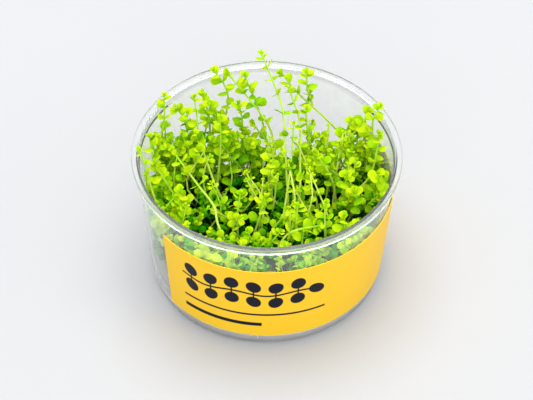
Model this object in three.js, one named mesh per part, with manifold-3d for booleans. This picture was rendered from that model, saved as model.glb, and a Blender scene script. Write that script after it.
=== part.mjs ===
// A carpet-forming aquarium plant grown in a clear round culture cup.
//
// The cup stands on its base ring at z = 0 and its axis is Z. The label faces -Y. The gel lies on the
// cup's floor, the low carpet grows on the gel, and the long shoots rise out of the carpet: most of
// them lean back towards +Y. Units are millimetres.

import * as THREE from 'three';
import { mergeVertices } from 'three/addons/utils/BufferGeometryUtils.js';
import Module from 'manifold-3d';

const wasm = await Module();
wasm.setup();

// ---------------------------------------------------------------- driving dimensions

const CLEARANCE = 0.3;              // gap between two pieces that touch
const MERGE_DISTANCE = 1e-4;        // corners closer than this are one corner

const CUP_HEIGHT = 57;
const CUP_SIDES = 48;
const RIM_RADIUS = 50;              // outer edge of the flat rim
const RIM_THICKNESS = 2;
const MOUTH_RADIUS = 47.45;         // clear opening at the top of the rim
const WALL_FOOT_RADIUS = 43.3;      // outside of the wall, carried down to z = 0
const WALL_SLOPE = 0.088;           // how far the wall widens for each millimetre of height
const WALL_THICKNESS = 1;
const LID_STEP_TOP = 53.4;          // small step inside the mouth that a lid's plug sits on
const LID_STEP_HEIGHT = 0.7;
const LID_STEP_WIDTH = 0.4;
const BASE_RING_INNER = 38.4;
const BASE_RING_OUTER = 42.3;
const BASE_RECESS = 0.8;            // the middle of the base stands this far above the ring
const BASE_CORNER = 1.1;
const FLOOR_TOP = 1.9;
const FLOOR_CORNER = 1.2;

const LABEL_BOTTOM = 5.8;
const LABEL_TOP = 43.6;
const LABEL_THICKNESS = 0.3;
const LABEL_START = -52;            // degrees round from the front, towards +X
const LABEL_END = 128;
const LABEL_STEPS = 24;

const GEL_TOP = 9;
const GEL_SIDES = 24;

const CARPET_WALL_GAP = 1.4;        // low growth stays this far inside the wall
const CARPET_HEIGHT = 29;           // height of the low growth over the middle of the cup
const CARPET_RISE = 0.3;            // it stands higher towards the front by this much a millimetre
const CARPET_DROOP = 0.0022;        // and falls away towards the back with the square of the distance
const CARPET_CLUMPS = [             // thicker growth: [x, y, spread, rise]
  [-30, 20, 9, 8],
  [-35, 2, 8, 5],
  [33, 17, 8, 8],
  [37, -6, 7, 4],
  [18, 24, 7, 5],
  [20, -22, 10, 3],
  [-30, -16, 9, 3],
];
const CARPET_SIDES = 26;
const CARPET_RINGS = 6;
const CARPET_CRUMPLE = 2.2;         // the top rises and falls this far between the plantlets
const CARPET_LEAF = 6;
const CARPET_LEAF_RISE = 0.8;       // how steeply the carpet's leaves stand up
const CARPET_LEAF_FOOT = 0.5;       // depth of their stalks' feet below the crest
const CARPET_LEAF_CREST = 0.7;     // leaves stand where the crumpled top is at least this high

const STEM_RADIUS = 0.5;
const STEM_SIDES = 5;
const STEM_STEP = 9;                // length of one straight facet of a stem
const ROOT_DEPTH = 3;               // a shoot's path starts this far below the carpet's surface
const LEAF_SIDES = 6;
const LEAF_WIDTH = 0.94;            // leaf width over its length
const LEAF_THICKNESS = 0.7;
const LEAF_SHARE = 0.84;            // blade length over the largest one that the list allows
const LEAF_LIFT = 28;               // degrees that a leaf leans towards the shoot's tip
const BUD_SIZE = 0.6;               // the folded leaves at the very tip, over the full-grown ones
const BUD_INSET = 0.4;
const STALK_REACH = 1.35;           // from the blade's middle to the stalk's foot, in half lengths
const STALK_INSET = 0.16;           // a leaf's stalk starts this far from the middle of the stem
const PAIR_GROWTH = 0.85;           // the topmost pair's size over a full-grown one's
const CROWDED_SIZE = 0.75;          // the size of a leaf that has little room, over its full size
const PAIR_TURN = 90;               // degrees from one pair of leaves to the next

// Distances from a shoot's tip to its pairs of leaves.
const PAIR_DISTANCES = [2.6, 7.4, 13.4, 20.5, 28];

// The shoots: root [x, y] on the carpet, then the points that the stem passes on its way to the tip,
// the number of leaf pairs below its bud, the length of its largest leaves, and the turn of its
// topmost pair in degrees.
const SHOOTS = [
  { name: 'back_tallest', root: [8.5, -3], pairs: 4, leaf: 4.6, turn: 20,
    path: [[7, 11.5, 45], [6.5, 18, 51], [5.5, 24.5, 57], [2, 32, 63], [-2.5, 40, 70]] },
  { name: 'back_long_right', root: [28, 30.5], pairs: 2, leaf: 5, turn: 70,
    path: [[29, 33, 32], [24.5, 33, 40], [16.5, 35, 48], [10, 37, 54.5], [5, 38.5, 62]] },
  { name: 'back_left', root: [-17, 31], pairs: 2, leaf: 5.4, turn: 15,
    path: [[-17, 34, 33], [-15, 37.5, 50], [-17.5, 39, 57], [-20.5, 40, 61]] },
  { name: 'back_middle', root: [3.5, 22.5], pairs: 3, leaf: 5.2, turn: 60,
    path: [[3, 25.5, 33], [1, 28.5, 42], [-7, 32.5, 53.5], [-15.5, 37, 63]] },
  { name: 'back_upright', root: [1, 37.5], pairs: 2, leaf: 4.8, turn: 0,
    path: [[-1.5, 38, 34.5], [-5.5, 38, 50], [-9, 38, 61]] },
  { name: 'back_thin', root: [11, -6], pairs: 3, leaf: 4.2, turn: 40,
    path: [[12.5, 0, 36], [12.5, 11, 43], [12, 24.5, 51], [9.5, 31.5, 54.5], [8, 35, 57.5]] },
  { name: 'back_column', root: [18.5, 17.5], pairs: 2, leaf: 4.6, turn: 30,
    path: [[17, 21.5, 37], [15, 24.5, 47.5], [14.5, 26.5, 55]] },
  { name: 'back_centre', root: [-10, 36], pairs: 2, leaf: 4.8, turn: 50,
    path: [[-9.5, 30.5, 44], [-11, 27.5, 56]] },
  { name: 'back_low', root: [20, 30], pairs: 2, leaf: 5, turn: 10,
    path: [[22, 27, 34], [19.5, 24, 43]] },
  { name: 'left_tall', root: [-36.5, 16.5], pairs: 2, leaf: 4.4, turn: 35,
    path: [[-39.5, 20, 44.5], [-38.5, 21, 54.5], [-38.5, 22, 65]] },
  { name: 'left_fork', root: [-29, 27.5], pairs: 2, leaf: 5.2, turn: 80,
    path: [[-31.5, 29, 46], [-34.5, 28, 53]] },
  { name: 'left_long', root: [-15.5, 3], pairs: 2, leaf: 4.6, turn: 25,
    path: [[-19.5, 6, 34.5], [-25.5, 19, 46.5], [-26.5, 24, 53], [-27.5, 28, 59]] },
  { name: 'left_twin', root: [-22, 30], pairs: 2, leaf: 4.4, turn: 65,
    path: [[-22, 31.5, 44], [-23.5, 31, 53], [-24.5, 31, 58]] },
  { name: 'left_tuft', root: [-18, 27.5], pairs: 2, leaf: 4.4, turn: 5,
    path: [[-18, 30, 42], [-20.5, 29, 50], [-21.5, 27, 56.5]] },
  { name: 'left_bright', root: [-31, 23], pairs: 2, leaf: 4.8, turn: 45,
    path: [[-30.5, 24, 35], [-30, 22.5, 56]] },
  { name: 'left_pair', root: [-38.5, 6], pairs: 2, leaf: 5, turn: 85,
    path: [[-42, 7.5, 42], [-43.5, 8, 57.5]] },
  { name: 'left_edge', root: [-39, -8], pairs: 2, leaf: 3.8, turn: 30,
    path: [[-43, -6, 46], [-45, -4, 55.5], [-47.5, -1.5, 60]] },
  { name: 'left_arch', root: [-33.5, -5.5], pairs: 2, leaf: 5, turn: 60,
    path: [[-34.5, -4.5, 39], [-38, -3.5, 46.5], [-41.5, -2, 53]] },
  { name: 'right_round', root: [30.5, 23.5], pairs: 1, leaf: 6, turn: 55,
    path: [[31.5, 24, 41], [35, 22, 50], [38, 20, 59]] },
  { name: 'right_edge', root: [36, 15.5], pairs: 2, leaf: 5, turn: 10,
    path: [[39.5, 16.5, 46], [39.5, 17.5, 57.5], [42, 18, 64]] },
  { name: 'right_low', root: [26, 25.5], pairs: 2, leaf: 5.6, turn: 40,
    path: [[29, 27.5, 38], [32, 27, 48]] },
  { name: 'right_long', root: [28, -0.5], pairs: 2, leaf: 5.2, turn: 75,
    path: [[33.5, 2, 35], [38.5, 5, 40], [41, 8.5, 50.5], [41.5, 10.5, 57]] },
  { name: 'right_outer', root: [38, 3.5], pairs: 2, leaf: 5.4, turn: 20,
    path: [[40, 0, 39.5], [41.5, -3.5, 50]] },
  { name: 'right_front', root: [32, -6.5], pairs: 2, leaf: 5.8, turn: 50,
    path: [[33.5, -8, 40], [32, -9.5, 48]] },
  { name: 'middle_tall', root: [6, -11], pairs: 2, leaf: 4.2, turn: 15,
    path: [[9, 8, 43.5], [10, 20, 53]] },
  { name: 'middle_arch', root: [31, 8.5], pairs: 1, leaf: 5.4, turn: 60,
    path: [[24, 7, 42], [16.5, 4, 50]] },
  { name: 'middle_lean', root: [26.5, 2], pairs: 2, leaf: 4.8, turn: 35,
    path: [[24.5, 2.5, 40.5], [18, 3.5, 54]] },
  { name: 'middle_curve', root: [20, -3.5], pairs: 1, leaf: 5, turn: 80,
    path: [[17, -4, 43], [12.5, -4, 50]] },
  { name: 'middle_bud', root: [2, 5], pairs: 2, leaf: 5.6, turn: 0,
    path: [[2, 5, 38], [1, 4.5, 50]] },
  { name: 'middle_double', root: [-19, 11], pairs: 2, leaf: 4.8, turn: 45,
    path: [[-17.5, 16, 43], [-17.5, 20, 56]] },
  { name: 'middle_diagonal', root: [-14, -26.5], pairs: 2, leaf: 4.8, turn: 70,
    path: [[-18, -20.5, 41.5], [-19, -16.5, 45], [-25, -9.5, 49], [-35, 3, 55]] },
  { name: 'middle_up', root: [-30, 13.5], pairs: 2, leaf: 5.2, turn: 25,
    path: [[-27.5, 12, 36], [-25.5, 9, 50]] },
  { name: 'front_left', root: [-28.5, -13], pairs: 2, leaf: 5.6, turn: 55,
    path: [[-30, -11.5, 41.5], [-31.5, -10.5, 48]] },
  { name: 'front_lean', root: [-10.5, -19.5], pairs: 2, leaf: 5.4, turn: 5,
    path: [[-10.5, -16, 42.5], [-9.5, -13, 49]] },
  { name: 'front_curl', root: [-4.5, -17.5], pairs: 1, leaf: 5.2, turn: 40,
    path: [[-2, -15.5, 41], [-0.5, -13.5, 48]] },
  { name: 'front_flat', root: [3.5, -30], pairs: 1, leaf: 5.8, turn: 75,
    path: [[8.5, -29.5, 45.5], [19.5, -28, 48]] },
  { name: 'front_tall', root: [12, -26], pairs: 2, leaf: 5.4, turn: 30,
    path: [[11, -22.5, 43.5], [11.5, -19, 49]] },
  { name: 'front_cross', root: [22, -25], pairs: 2, leaf: 4.8, turn: 65,
    path: [[21.5, -23, 44], [21.5, -20.5, 52]] },
];

// The side shoot that forks from back_long_right.
const FORK = { name: 'back_fork', root: [17.3, 36.6, 46.2], pairs: 1, leaf: 5.6, turn: 10,
  path: [[15, 37.2, 56], [14.7, 38, 62.5]] };

// ---------------------------------------------------------------- materials

const CLEAR_PLASTIC = new THREE.MeshStandardMaterial({
  color: 0xeef1f2, roughness: 0.08, metalness: 0, transparent: true, opacity: 0.35,
});
const YELLOW_LABEL = new THREE.MeshStandardMaterial({ color: 0xfdd23f, roughness: 0.45, metalness: 0 });
const GEL = new THREE.MeshStandardMaterial({
  color: 0xe9ecda, roughness: 0.15, metalness: 0, transparent: true, opacity: 0.6,
});
const CARPET_GREEN = new THREE.MeshStandardMaterial({ color: 0x5f9a06, roughness: 0.55, metalness: 0 });
const SHOOT_GREEN = new THREE.MeshStandardMaterial({ color: 0xa6d60c, roughness: 0.5, metalness: 0 });

// ---------------------------------------------------------------- geometry helpers

// Turns a closed geometry into a solid that can be joined and cut.
function solidOf(geometry) {
  geometry.deleteAttribute('normal');
  geometry.deleteAttribute('uv');
  const merged = mergeVertices(geometry, MERGE_DISTANCE);
  const index = merged.index.array;
  const triangles = [];
  for (let i = 0; i < index.length; i += 3) {
    const [a, b, c] = [index[i], index[i + 1], index[i + 2]];
    if (a !== b && b !== c && c !== a) {
      triangles.push(a, b, c);
    }
  }
  return new wasm.Manifold(new wasm.Mesh({
    numProp: 3,
    vertProperties: new Float32Array(merged.attributes.position.array),
    triVerts: new Uint32Array(triangles),
  }));
}

// Turns a solid into a named mesh of the scene.
function meshOf(name, solid, material) {
  const { vertProperties, triVerts } = solid.getMesh();
  const geometry = new THREE.BufferGeometry();
  geometry.setAttribute('position', new THREE.Float32BufferAttribute(vertProperties, 3));
  geometry.setIndex(new THREE.Uint32BufferAttribute(triVerts, 1));
  geometry.computeVertexNormals();
  const mesh = new THREE.Mesh(geometry, material);
  mesh.name = name;
  return mesh;
}

// Spins a profile of [radius, height] pairs round the Z axis.
function spun(profile, sides) {
  const points = profile.map(([radius, height]) => new THREE.Vector2(radius, height));
  const geometry = new THREE.LatheGeometry(points, sides);
  geometry.rotateX(Math.PI / 2);
  return geometry;
}

const degrees = THREE.MathUtils.degToRad;

// A spread of values from 0 to 1 that differs from one whole number to the next.
function scatter(number) {
  const wave = Math.sin(number * 12.9898 + 4.1) * 43758.5453;
  return wave - Math.floor(wave);
}

// ---------------------------------------------------------------- cup, label and gel

const wallOuter = (height) => WALL_FOOT_RADIUS + WALL_SLOPE * height;
const wallInner = (height) => wallOuter(height) - WALL_THICKNESS;

function cup() {
  const rimUnder = CUP_HEIGHT - RIM_THICKNESS;
  const stepBottom = LID_STEP_TOP - LID_STEP_HEIGHT;
  return solidOf(spun([
    [0, BASE_RECESS],
    [BASE_RING_INNER - BASE_RECESS, BASE_RECESS],
    [BASE_RING_INNER, 0],
    [BASE_RING_OUTER, 0],
    [wallOuter(BASE_CORNER), BASE_CORNER],
    [wallOuter(rimUnder), rimUnder],
    [RIM_RADIUS, rimUnder],
    [RIM_RADIUS, CUP_HEIGHT],
    [MOUTH_RADIUS, CUP_HEIGHT],
    [wallInner(stepBottom) + LID_STEP_WIDTH, LID_STEP_TOP],
    [wallInner(stepBottom), stepBottom],
    [wallInner(FLOOR_TOP + FLOOR_CORNER), FLOOR_TOP + FLOOR_CORNER],
    [wallInner(FLOOR_TOP) - FLOOR_CORNER, FLOOR_TOP],
    [0, FLOOR_TOP],
  ], CUP_SIDES));
}

// A printed sheet bent round the front of the wall.
function label() {
  const inner = CLEARANCE;
  const outer = CLEARANCE + LABEL_THICKNESS;
  const section = [
    [wallOuter(LABEL_BOTTOM) + inner, LABEL_BOTTOM],
    [wallOuter(LABEL_BOTTOM) + outer, LABEL_BOTTOM],
    [wallOuter(LABEL_TOP) + outer, LABEL_TOP],
    [wallOuter(LABEL_TOP) + inner, LABEL_TOP],
  ];
  const positions = [];
  const index = [];
  for (let step = 0; step <= LABEL_STEPS; step += 1) {
    const angle = degrees(LABEL_START + (LABEL_END - LABEL_START) * step / LABEL_STEPS);
    for (const [radius, height] of section) {
      positions.push(radius * Math.sin(angle), -radius * Math.cos(angle), height);
    }
  }
  for (let step = 0; step < LABEL_STEPS; step += 1) {
    for (let side = 0; side < 4; side += 1) {
      const a = step * 4 + side;
      const b = step * 4 + (side + 1) % 4;
      index.push(a, a + 4, b + 4, a, b + 4, b);
    }
  }
  const last = LABEL_STEPS * 4;
  index.push(0, 1, 2, 0, 2, 3, last, last + 2, last + 1, last, last + 3, last + 2);
  const geometry = new THREE.BufferGeometry();
  geometry.setAttribute('position', new THREE.Float32BufferAttribute(positions, 3));
  geometry.setIndex(index);
  return solidOf(geometry);
}

// The nutrient gel that covers the cup's floor.
function gel() {
  const bottom = FLOOR_TOP + CLEARANCE;
  const shoulder = FLOOR_TOP + FLOOR_CORNER + CLEARANCE;
  return solidOf(spun([
    [0, bottom],
    [wallInner(bottom) - FLOOR_CORNER - 2 * CLEARANCE, bottom],
    [wallInner(shoulder) - 2 * CLEARANCE, shoulder],
    [wallInner(GEL_TOP) - 2 * CLEARANCE, GEL_TOP],
    [0, GEL_TOP],
  ], GEL_SIDES));
}

// ---------------------------------------------------------------- leaves and stems

// A round leaf on a short stalk: its stalk starts at the origin and runs along +X, and the blade
// faces +Y.
function leafGeometry(length) {
  const geometry = new THREE.SphereGeometry(1, LEAF_SIDES, 2);
  const position = geometry.attributes.position;
  for (let i = 0; i < position.count; i += 1) {
    if (position.getX(i) + 1 < MERGE_DISTANCE) {
      position.setX(i, -STALK_REACH);
    }
  }
  geometry.scale(length / 2, LEAF_THICKNESS / 2, length * LEAF_WIDTH / 2);
  geometry.translate(STALK_REACH * length / 2, 0, 0);
  return geometry;
}

// Places a leaf with its stalk at a point, along one direction and facing another.
function placedLeaf(length, point, along, facing) {
  const across = new THREE.Vector3().crossVectors(along, facing).normalize();
  const face = new THREE.Vector3().crossVectors(across, along).normalize();
  const geometry = leafGeometry(length);
  geometry.applyMatrix4(new THREE.Matrix4().makeBasis(along, face, across).setPosition(point));
  return solidOf(geometry);
}

const stemFacets = (curve) => Math.max(2, Math.round(curve.getLength() / STEM_STEP));

// The point in the middle of a faceted stem, a given distance below its tip.
function stemPoint(curve, distance) {
  const facets = stemFacets(curve);
  const place = facets * (1 - distance / curve.getLength());
  const facet = Math.min(Math.floor(place), facets - 1);
  const start = curve.getPointAt(facet / facets);
  return start.lerp(curve.getPointAt((facet + 1) / facets), place - facet);
}

function stemSolid(curve, radius) {
  const corners = Array.from({ length: STEM_SIDES }, (_, side) => {
    const angle = 2 * Math.PI * side / STEM_SIDES;
    return new THREE.Vector2(radius * Math.cos(angle), radius * Math.sin(angle));
  });
  return solidOf(new THREE.ExtrudeGeometry(new THREE.Shape(corners), {
    steps: stemFacets(curve),
    bevelEnabled: false,
    extrudePath: curve,
  }));
}

// ---------------------------------------------------------------- the low carpet

function carpetHeight(x, y) {
  const even = CARPET_HEIGHT - CARPET_RISE * y - CARPET_DROOP * Math.max(y, 0) ** 2;
  const swells = CARPET_CLUMPS.map(([clumpX, clumpY, spread, rise]) => {
    const away = Math.hypot(x - clumpX, y - clumpY) / spread;
    return rise * Math.exp(-away * away / 2);
  });
  return even + Math.max(...swells);
}

// How far a point of the carpet's top stands above (or below) the even growth, from -1 to 1.
function crumple(ring, side) {
  return 2 * scatter(ring * CARPET_SIDES + side % CARPET_SIDES) - 1;
}

// A point of the carpet's crumpled top. Ring 0 is next to the wall, and the last ring is the middle.
function carpetPoint(ring, side) {
  const angle = 2 * Math.PI * (side % CARPET_SIDES + (ring % 2) / 2) / CARPET_SIDES;
  const share = 1 - ring / CARPET_RINGS;
  const nominal = share * (wallInner(CARPET_HEIGHT) - CARPET_WALL_GAP);
  const height = carpetHeight(nominal * Math.sin(angle), -nominal * Math.cos(angle));
  const reach = share * (wallInner(height - CARPET_CRUMPLE) - CARPET_WALL_GAP);
  const lift = share > 0 ? CARPET_CRUMPLE * crumple(ring, side) : 0;
  return new THREE.Vector3(reach * Math.sin(angle), -reach * Math.cos(angle), height + lift);
}

// The tangle of stems and leaves as one crumpled body, its top raised by a given amount.
function carpetBody(raise) {
  const bottom = GEL_TOP + CLEARANCE;
  const footRadius = wallInner(bottom) - CARPET_WALL_GAP;
  const profile = [[0, bottom], [footRadius, bottom]];
  for (let ring = 0; ring <= CARPET_RINGS; ring += 1) {
    profile.push([footRadius * (1 - ring / CARPET_RINGS), CARPET_HEIGHT]);
  }
  const geometry = spun(profile, CARPET_SIDES);
  const position = geometry.attributes.position;
  for (let side = 0; side <= CARPET_SIDES; side += 1) {
    for (let ring = 0; ring <= CARPET_RINGS; ring += 1) {
      const { x, y, z } = carpetPoint(ring, side);
      position.setXYZ(side * profile.length + 2 + ring, x, y, z + raise);
    }
  }
  return solidOf(geometry);
}

// Leaves that stand on the crests of the carpet, except where a stem passes.
function carpetLeaves(obstacles) {
  const leaves = [];
  for (let ring = 0; ring < CARPET_RINGS; ring += 1) {
    for (let side = 0; side < CARPET_SIDES; side += 1) {
      if (crumple(ring, side) > CARPET_LEAF_CREST) {
        const turn = 2 * Math.PI * scatter(side * CARPET_RINGS + ring);
        const along = new THREE.Vector3(Math.cos(turn), Math.sin(turn), CARPET_LEAF_RISE).normalize();
        const foot = carpetPoint(ring, side);
        foot.z -= CARPET_LEAF_FOOT;
        const leaf = placedLeaf(CARPET_LEAF, foot, along, new THREE.Vector3(0, 0, 1));
        if (obstacles.every((solid) => solid.intersect(leaf).isEmpty())) {
          leaves.push(leaf);
        }
      }
    }
  }
  return leaves;
}

// ---------------------------------------------------------------- the shoots

function shootCurve({ root, path }) {
  const [x, y, height = carpetHeight(x, y) - ROOT_DEPTH] = root;
  const points = [[x, y, height], ...path].map((point) => new THREE.Vector3(...point));
  return new THREE.CatmullRomCurve3(points);
}

// The leaves of a shoot, in opposite pairs that turn a quarter from one pair to the next. A leaf
// that would run into a neighbour is made smaller, and left off where even that has no room.
function shootLeaves(shoot, curve, obstacles) {
  const length = curve.getLength();
  const budFacing = new THREE.Vector3(Math.cos(degrees(shoot.turn)), Math.sin(degrees(shoot.turn)), 0);
  const budFoot = stemPoint(curve, BUD_INSET);
  const blade = shoot.leaf * LEAF_SHARE;
  const leaves = [placedLeaf(blade * BUD_SIZE, budFoot, curve.getTangentAt(1), budFacing)];
  PAIR_DISTANCES.slice(0, shoot.pairs).forEach((distance, pair) => {
    const point = stemPoint(curve, distance);
    const tangent = curve.getTangentAt(1 - distance / length);
    const side = new THREE.Vector3(-tangent.y, tangent.x, 0).normalize();
    const front = new THREE.Vector3().crossVectors(tangent, side);
    const lift = degrees(LEAF_LIFT);
    const size = blade * Math.min(1, PAIR_GROWTH + pair * (1 - PAIR_GROWTH));
    for (const half of [0, 180]) {
      const turn = degrees(shoot.turn + PAIR_TURN * pair + half);
      const out = side.clone().multiplyScalar(Math.cos(turn)).addScaledVector(front, Math.sin(turn));
      const along = out.multiplyScalar(Math.cos(lift)).addScaledVector(tangent, Math.sin(lift));
      for (const scale of [1, CROWDED_SIZE]) {
        const foot = point.clone().addScaledVector(along, STALK_INSET);
        const leaf = placedLeaf(size * scale, foot, along, tangent);
        if (obstacles.every((solid) => solid.intersect(leaf).isEmpty())) {
          leaves.push(leaf);
          break;
        }
      }
    }
  });
  return leaves;
}

// ---------------------------------------------------------------- assembly

const cupSolid = cup();
const shoots = [...SHOOTS, FORK].map((shoot) => ({ ...shoot, curve: shootCurve(shoot) }));
const sleeves = shoots.map(({ curve }) => stemSolid(curve, STEM_RADIUS + CLEARANCE));

let carpet = carpetBody(0);
const carpetCutter = carpetBody(CLEARANCE);
for (const leaf of carpetLeaves([cupSolid, ...sleeves])) {
  carpet = carpet.add(leaf);
}

const plant = new THREE.Group();
plant.add(meshOf('cup', cupSolid, CLEAR_PLASTIC));
plant.add(meshOf('label', label(), YELLOW_LABEL));
plant.add(meshOf('culture_gel', gel(), GEL));
plant.add(meshOf('carpet_mat', carpet, CARPET_GREEN));

const grown = [];
shoots.forEach((shoot, number) => {
  const otherStems = sleeves.filter((sleeve, other) => other !== number);
  let solid = stemSolid(shoot.curve, STEM_RADIUS).subtract(carpetCutter);
  for (const leaf of shootLeaves(shoot, shoot.curve, [cupSolid, carpet, ...otherStems, ...grown])) {
    solid = solid.add(leaf);
  }
  grown.push(solid);
  plant.add(meshOf(`shoot_${shoot.name}`, solid, SHOOT_GREEN));
});

export default plant;
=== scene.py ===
"""A carpet-forming aquarium plant grown in gel in an open, clear, round culture cup.

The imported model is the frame. The cup stands on z = 0 with its axis along Z and its label towards
-Y. Every piece below takes the place of a CAD node, at the same place and size. Sizes are in metres
unless a comment or docstring says otherwise.
"""

import logging
import math
import random
from dataclasses import dataclass
from enum import Enum
from typing import Callable, Optional, Sequence

import bmesh
import bpy
from mathutils import Matrix, Vector, noise


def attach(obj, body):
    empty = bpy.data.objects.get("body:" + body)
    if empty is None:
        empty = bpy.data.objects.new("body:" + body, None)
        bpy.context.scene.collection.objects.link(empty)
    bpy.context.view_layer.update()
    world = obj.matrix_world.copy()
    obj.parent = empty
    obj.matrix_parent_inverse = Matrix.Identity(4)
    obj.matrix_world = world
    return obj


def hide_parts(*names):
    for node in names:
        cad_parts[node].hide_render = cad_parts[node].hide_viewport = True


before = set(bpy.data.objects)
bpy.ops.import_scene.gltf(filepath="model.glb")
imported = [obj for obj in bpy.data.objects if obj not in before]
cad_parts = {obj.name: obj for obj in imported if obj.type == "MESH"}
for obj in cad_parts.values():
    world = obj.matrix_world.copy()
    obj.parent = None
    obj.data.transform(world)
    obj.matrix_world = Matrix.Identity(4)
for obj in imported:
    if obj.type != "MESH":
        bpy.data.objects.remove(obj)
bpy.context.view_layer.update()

MM = 0.001
TURN = 2 * math.pi
BODY = "root"
MERGE = 0.0005 * MM
NEAR = 0.01 * MM        # how far off a point may lie and still count as on an edge
TINY = 1e-12            # keeps a division by a length safe
TURNED_CREASE = 8.0     # degrees, wider than one step of a spun piece: only its profile has edges
GROWN_CREASE = 55.0
LOG = logging.getLogger("carpet_plant")

Colour = tuple[float, float, float]
Stretch = tuple[float, float, float]
Range = tuple[float, float]


class Slot(Enum):
    """The record's material slots."""

    CLEAR_PLASTIC = "clear_plastic"
    LABEL = "printed_label"
    GEL = "gel"
    LOW_GROWTH = "low_growth"
    SHOOT = "shoot"


# ------------------------------------------------------------------------------------- shaders


class Value:
    """A number socket whose arithmetic adds Math nodes."""

    def __init__(self, shader: "Shader", socket: bpy.types.NodeSocket) -> None:
        """Wraps a socket.

        Args:
            shader: The shader that the socket's node stands in.
            socket: The output socket that gives the number.
        """
        self.shader = shader
        self.socket = socket

    def math(self, operation: str, *others: "Value | float", clamp: bool = False) -> "Value":
        """Adds a Math node with this value as its first input.

        Args:
            operation: The Math node's operation.
            others: The node's other inputs.
            clamp: Whether the result is held between 0 and 1.

        Returns:
            The node's result.
        """
        inputs = dict(enumerate((self, *others)))
        settings = {"operation": operation, "use_clamp": clamp}
        return self.shader.value(self.shader.node("ShaderNodeMath", settings, inputs))

    def __add__(self, other: "Value | float") -> "Value":
        """Adds."""
        return self.math("ADD", other)

    __radd__ = __add__

    def __sub__(self, other: "Value | float") -> "Value":
        """Subtracts."""
        return self.math("SUBTRACT", other)

    def __rsub__(self, other: float) -> "Value":
        """Subtracts this value from a number."""
        return (self * -1.0) + other

    def __mul__(self, other: "Value | float") -> "Value":
        """Multiplies."""
        return self.math("MULTIPLY", other)

    __rmul__ = __mul__

    def __truediv__(self, other: "Value | float") -> "Value":
        """Divides."""
        return self.math("DIVIDE", other)

    def __abs__(self) -> "Value":
        """The value without its sign."""
        return self.math("ABSOLUTE")

    def clamped(self) -> "Value":
        """The value held between 0 and 1."""
        return self.math("ADD", 0.0, clamp=True)

    def below(self, edge: float, soft: float) -> "Value":
        """A mask that is 1 under an edge and 0 over it.

        Args:
            edge: The value at which the mask is one half.
            soft: The width over which it fades.

        Returns:
            The mask.
        """
        return ((edge - self) / soft + 0.5).clamped()

    def above(self, edge: float, soft: float) -> "Value":
        """A mask that is 1 over an edge and 0 under it.

        Args:
            edge: The value at which the mask is one half.
            soft: The width over which it fades.

        Returns:
            The mask.
        """
        return ((self - edge) / soft + 0.5).clamped()


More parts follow.
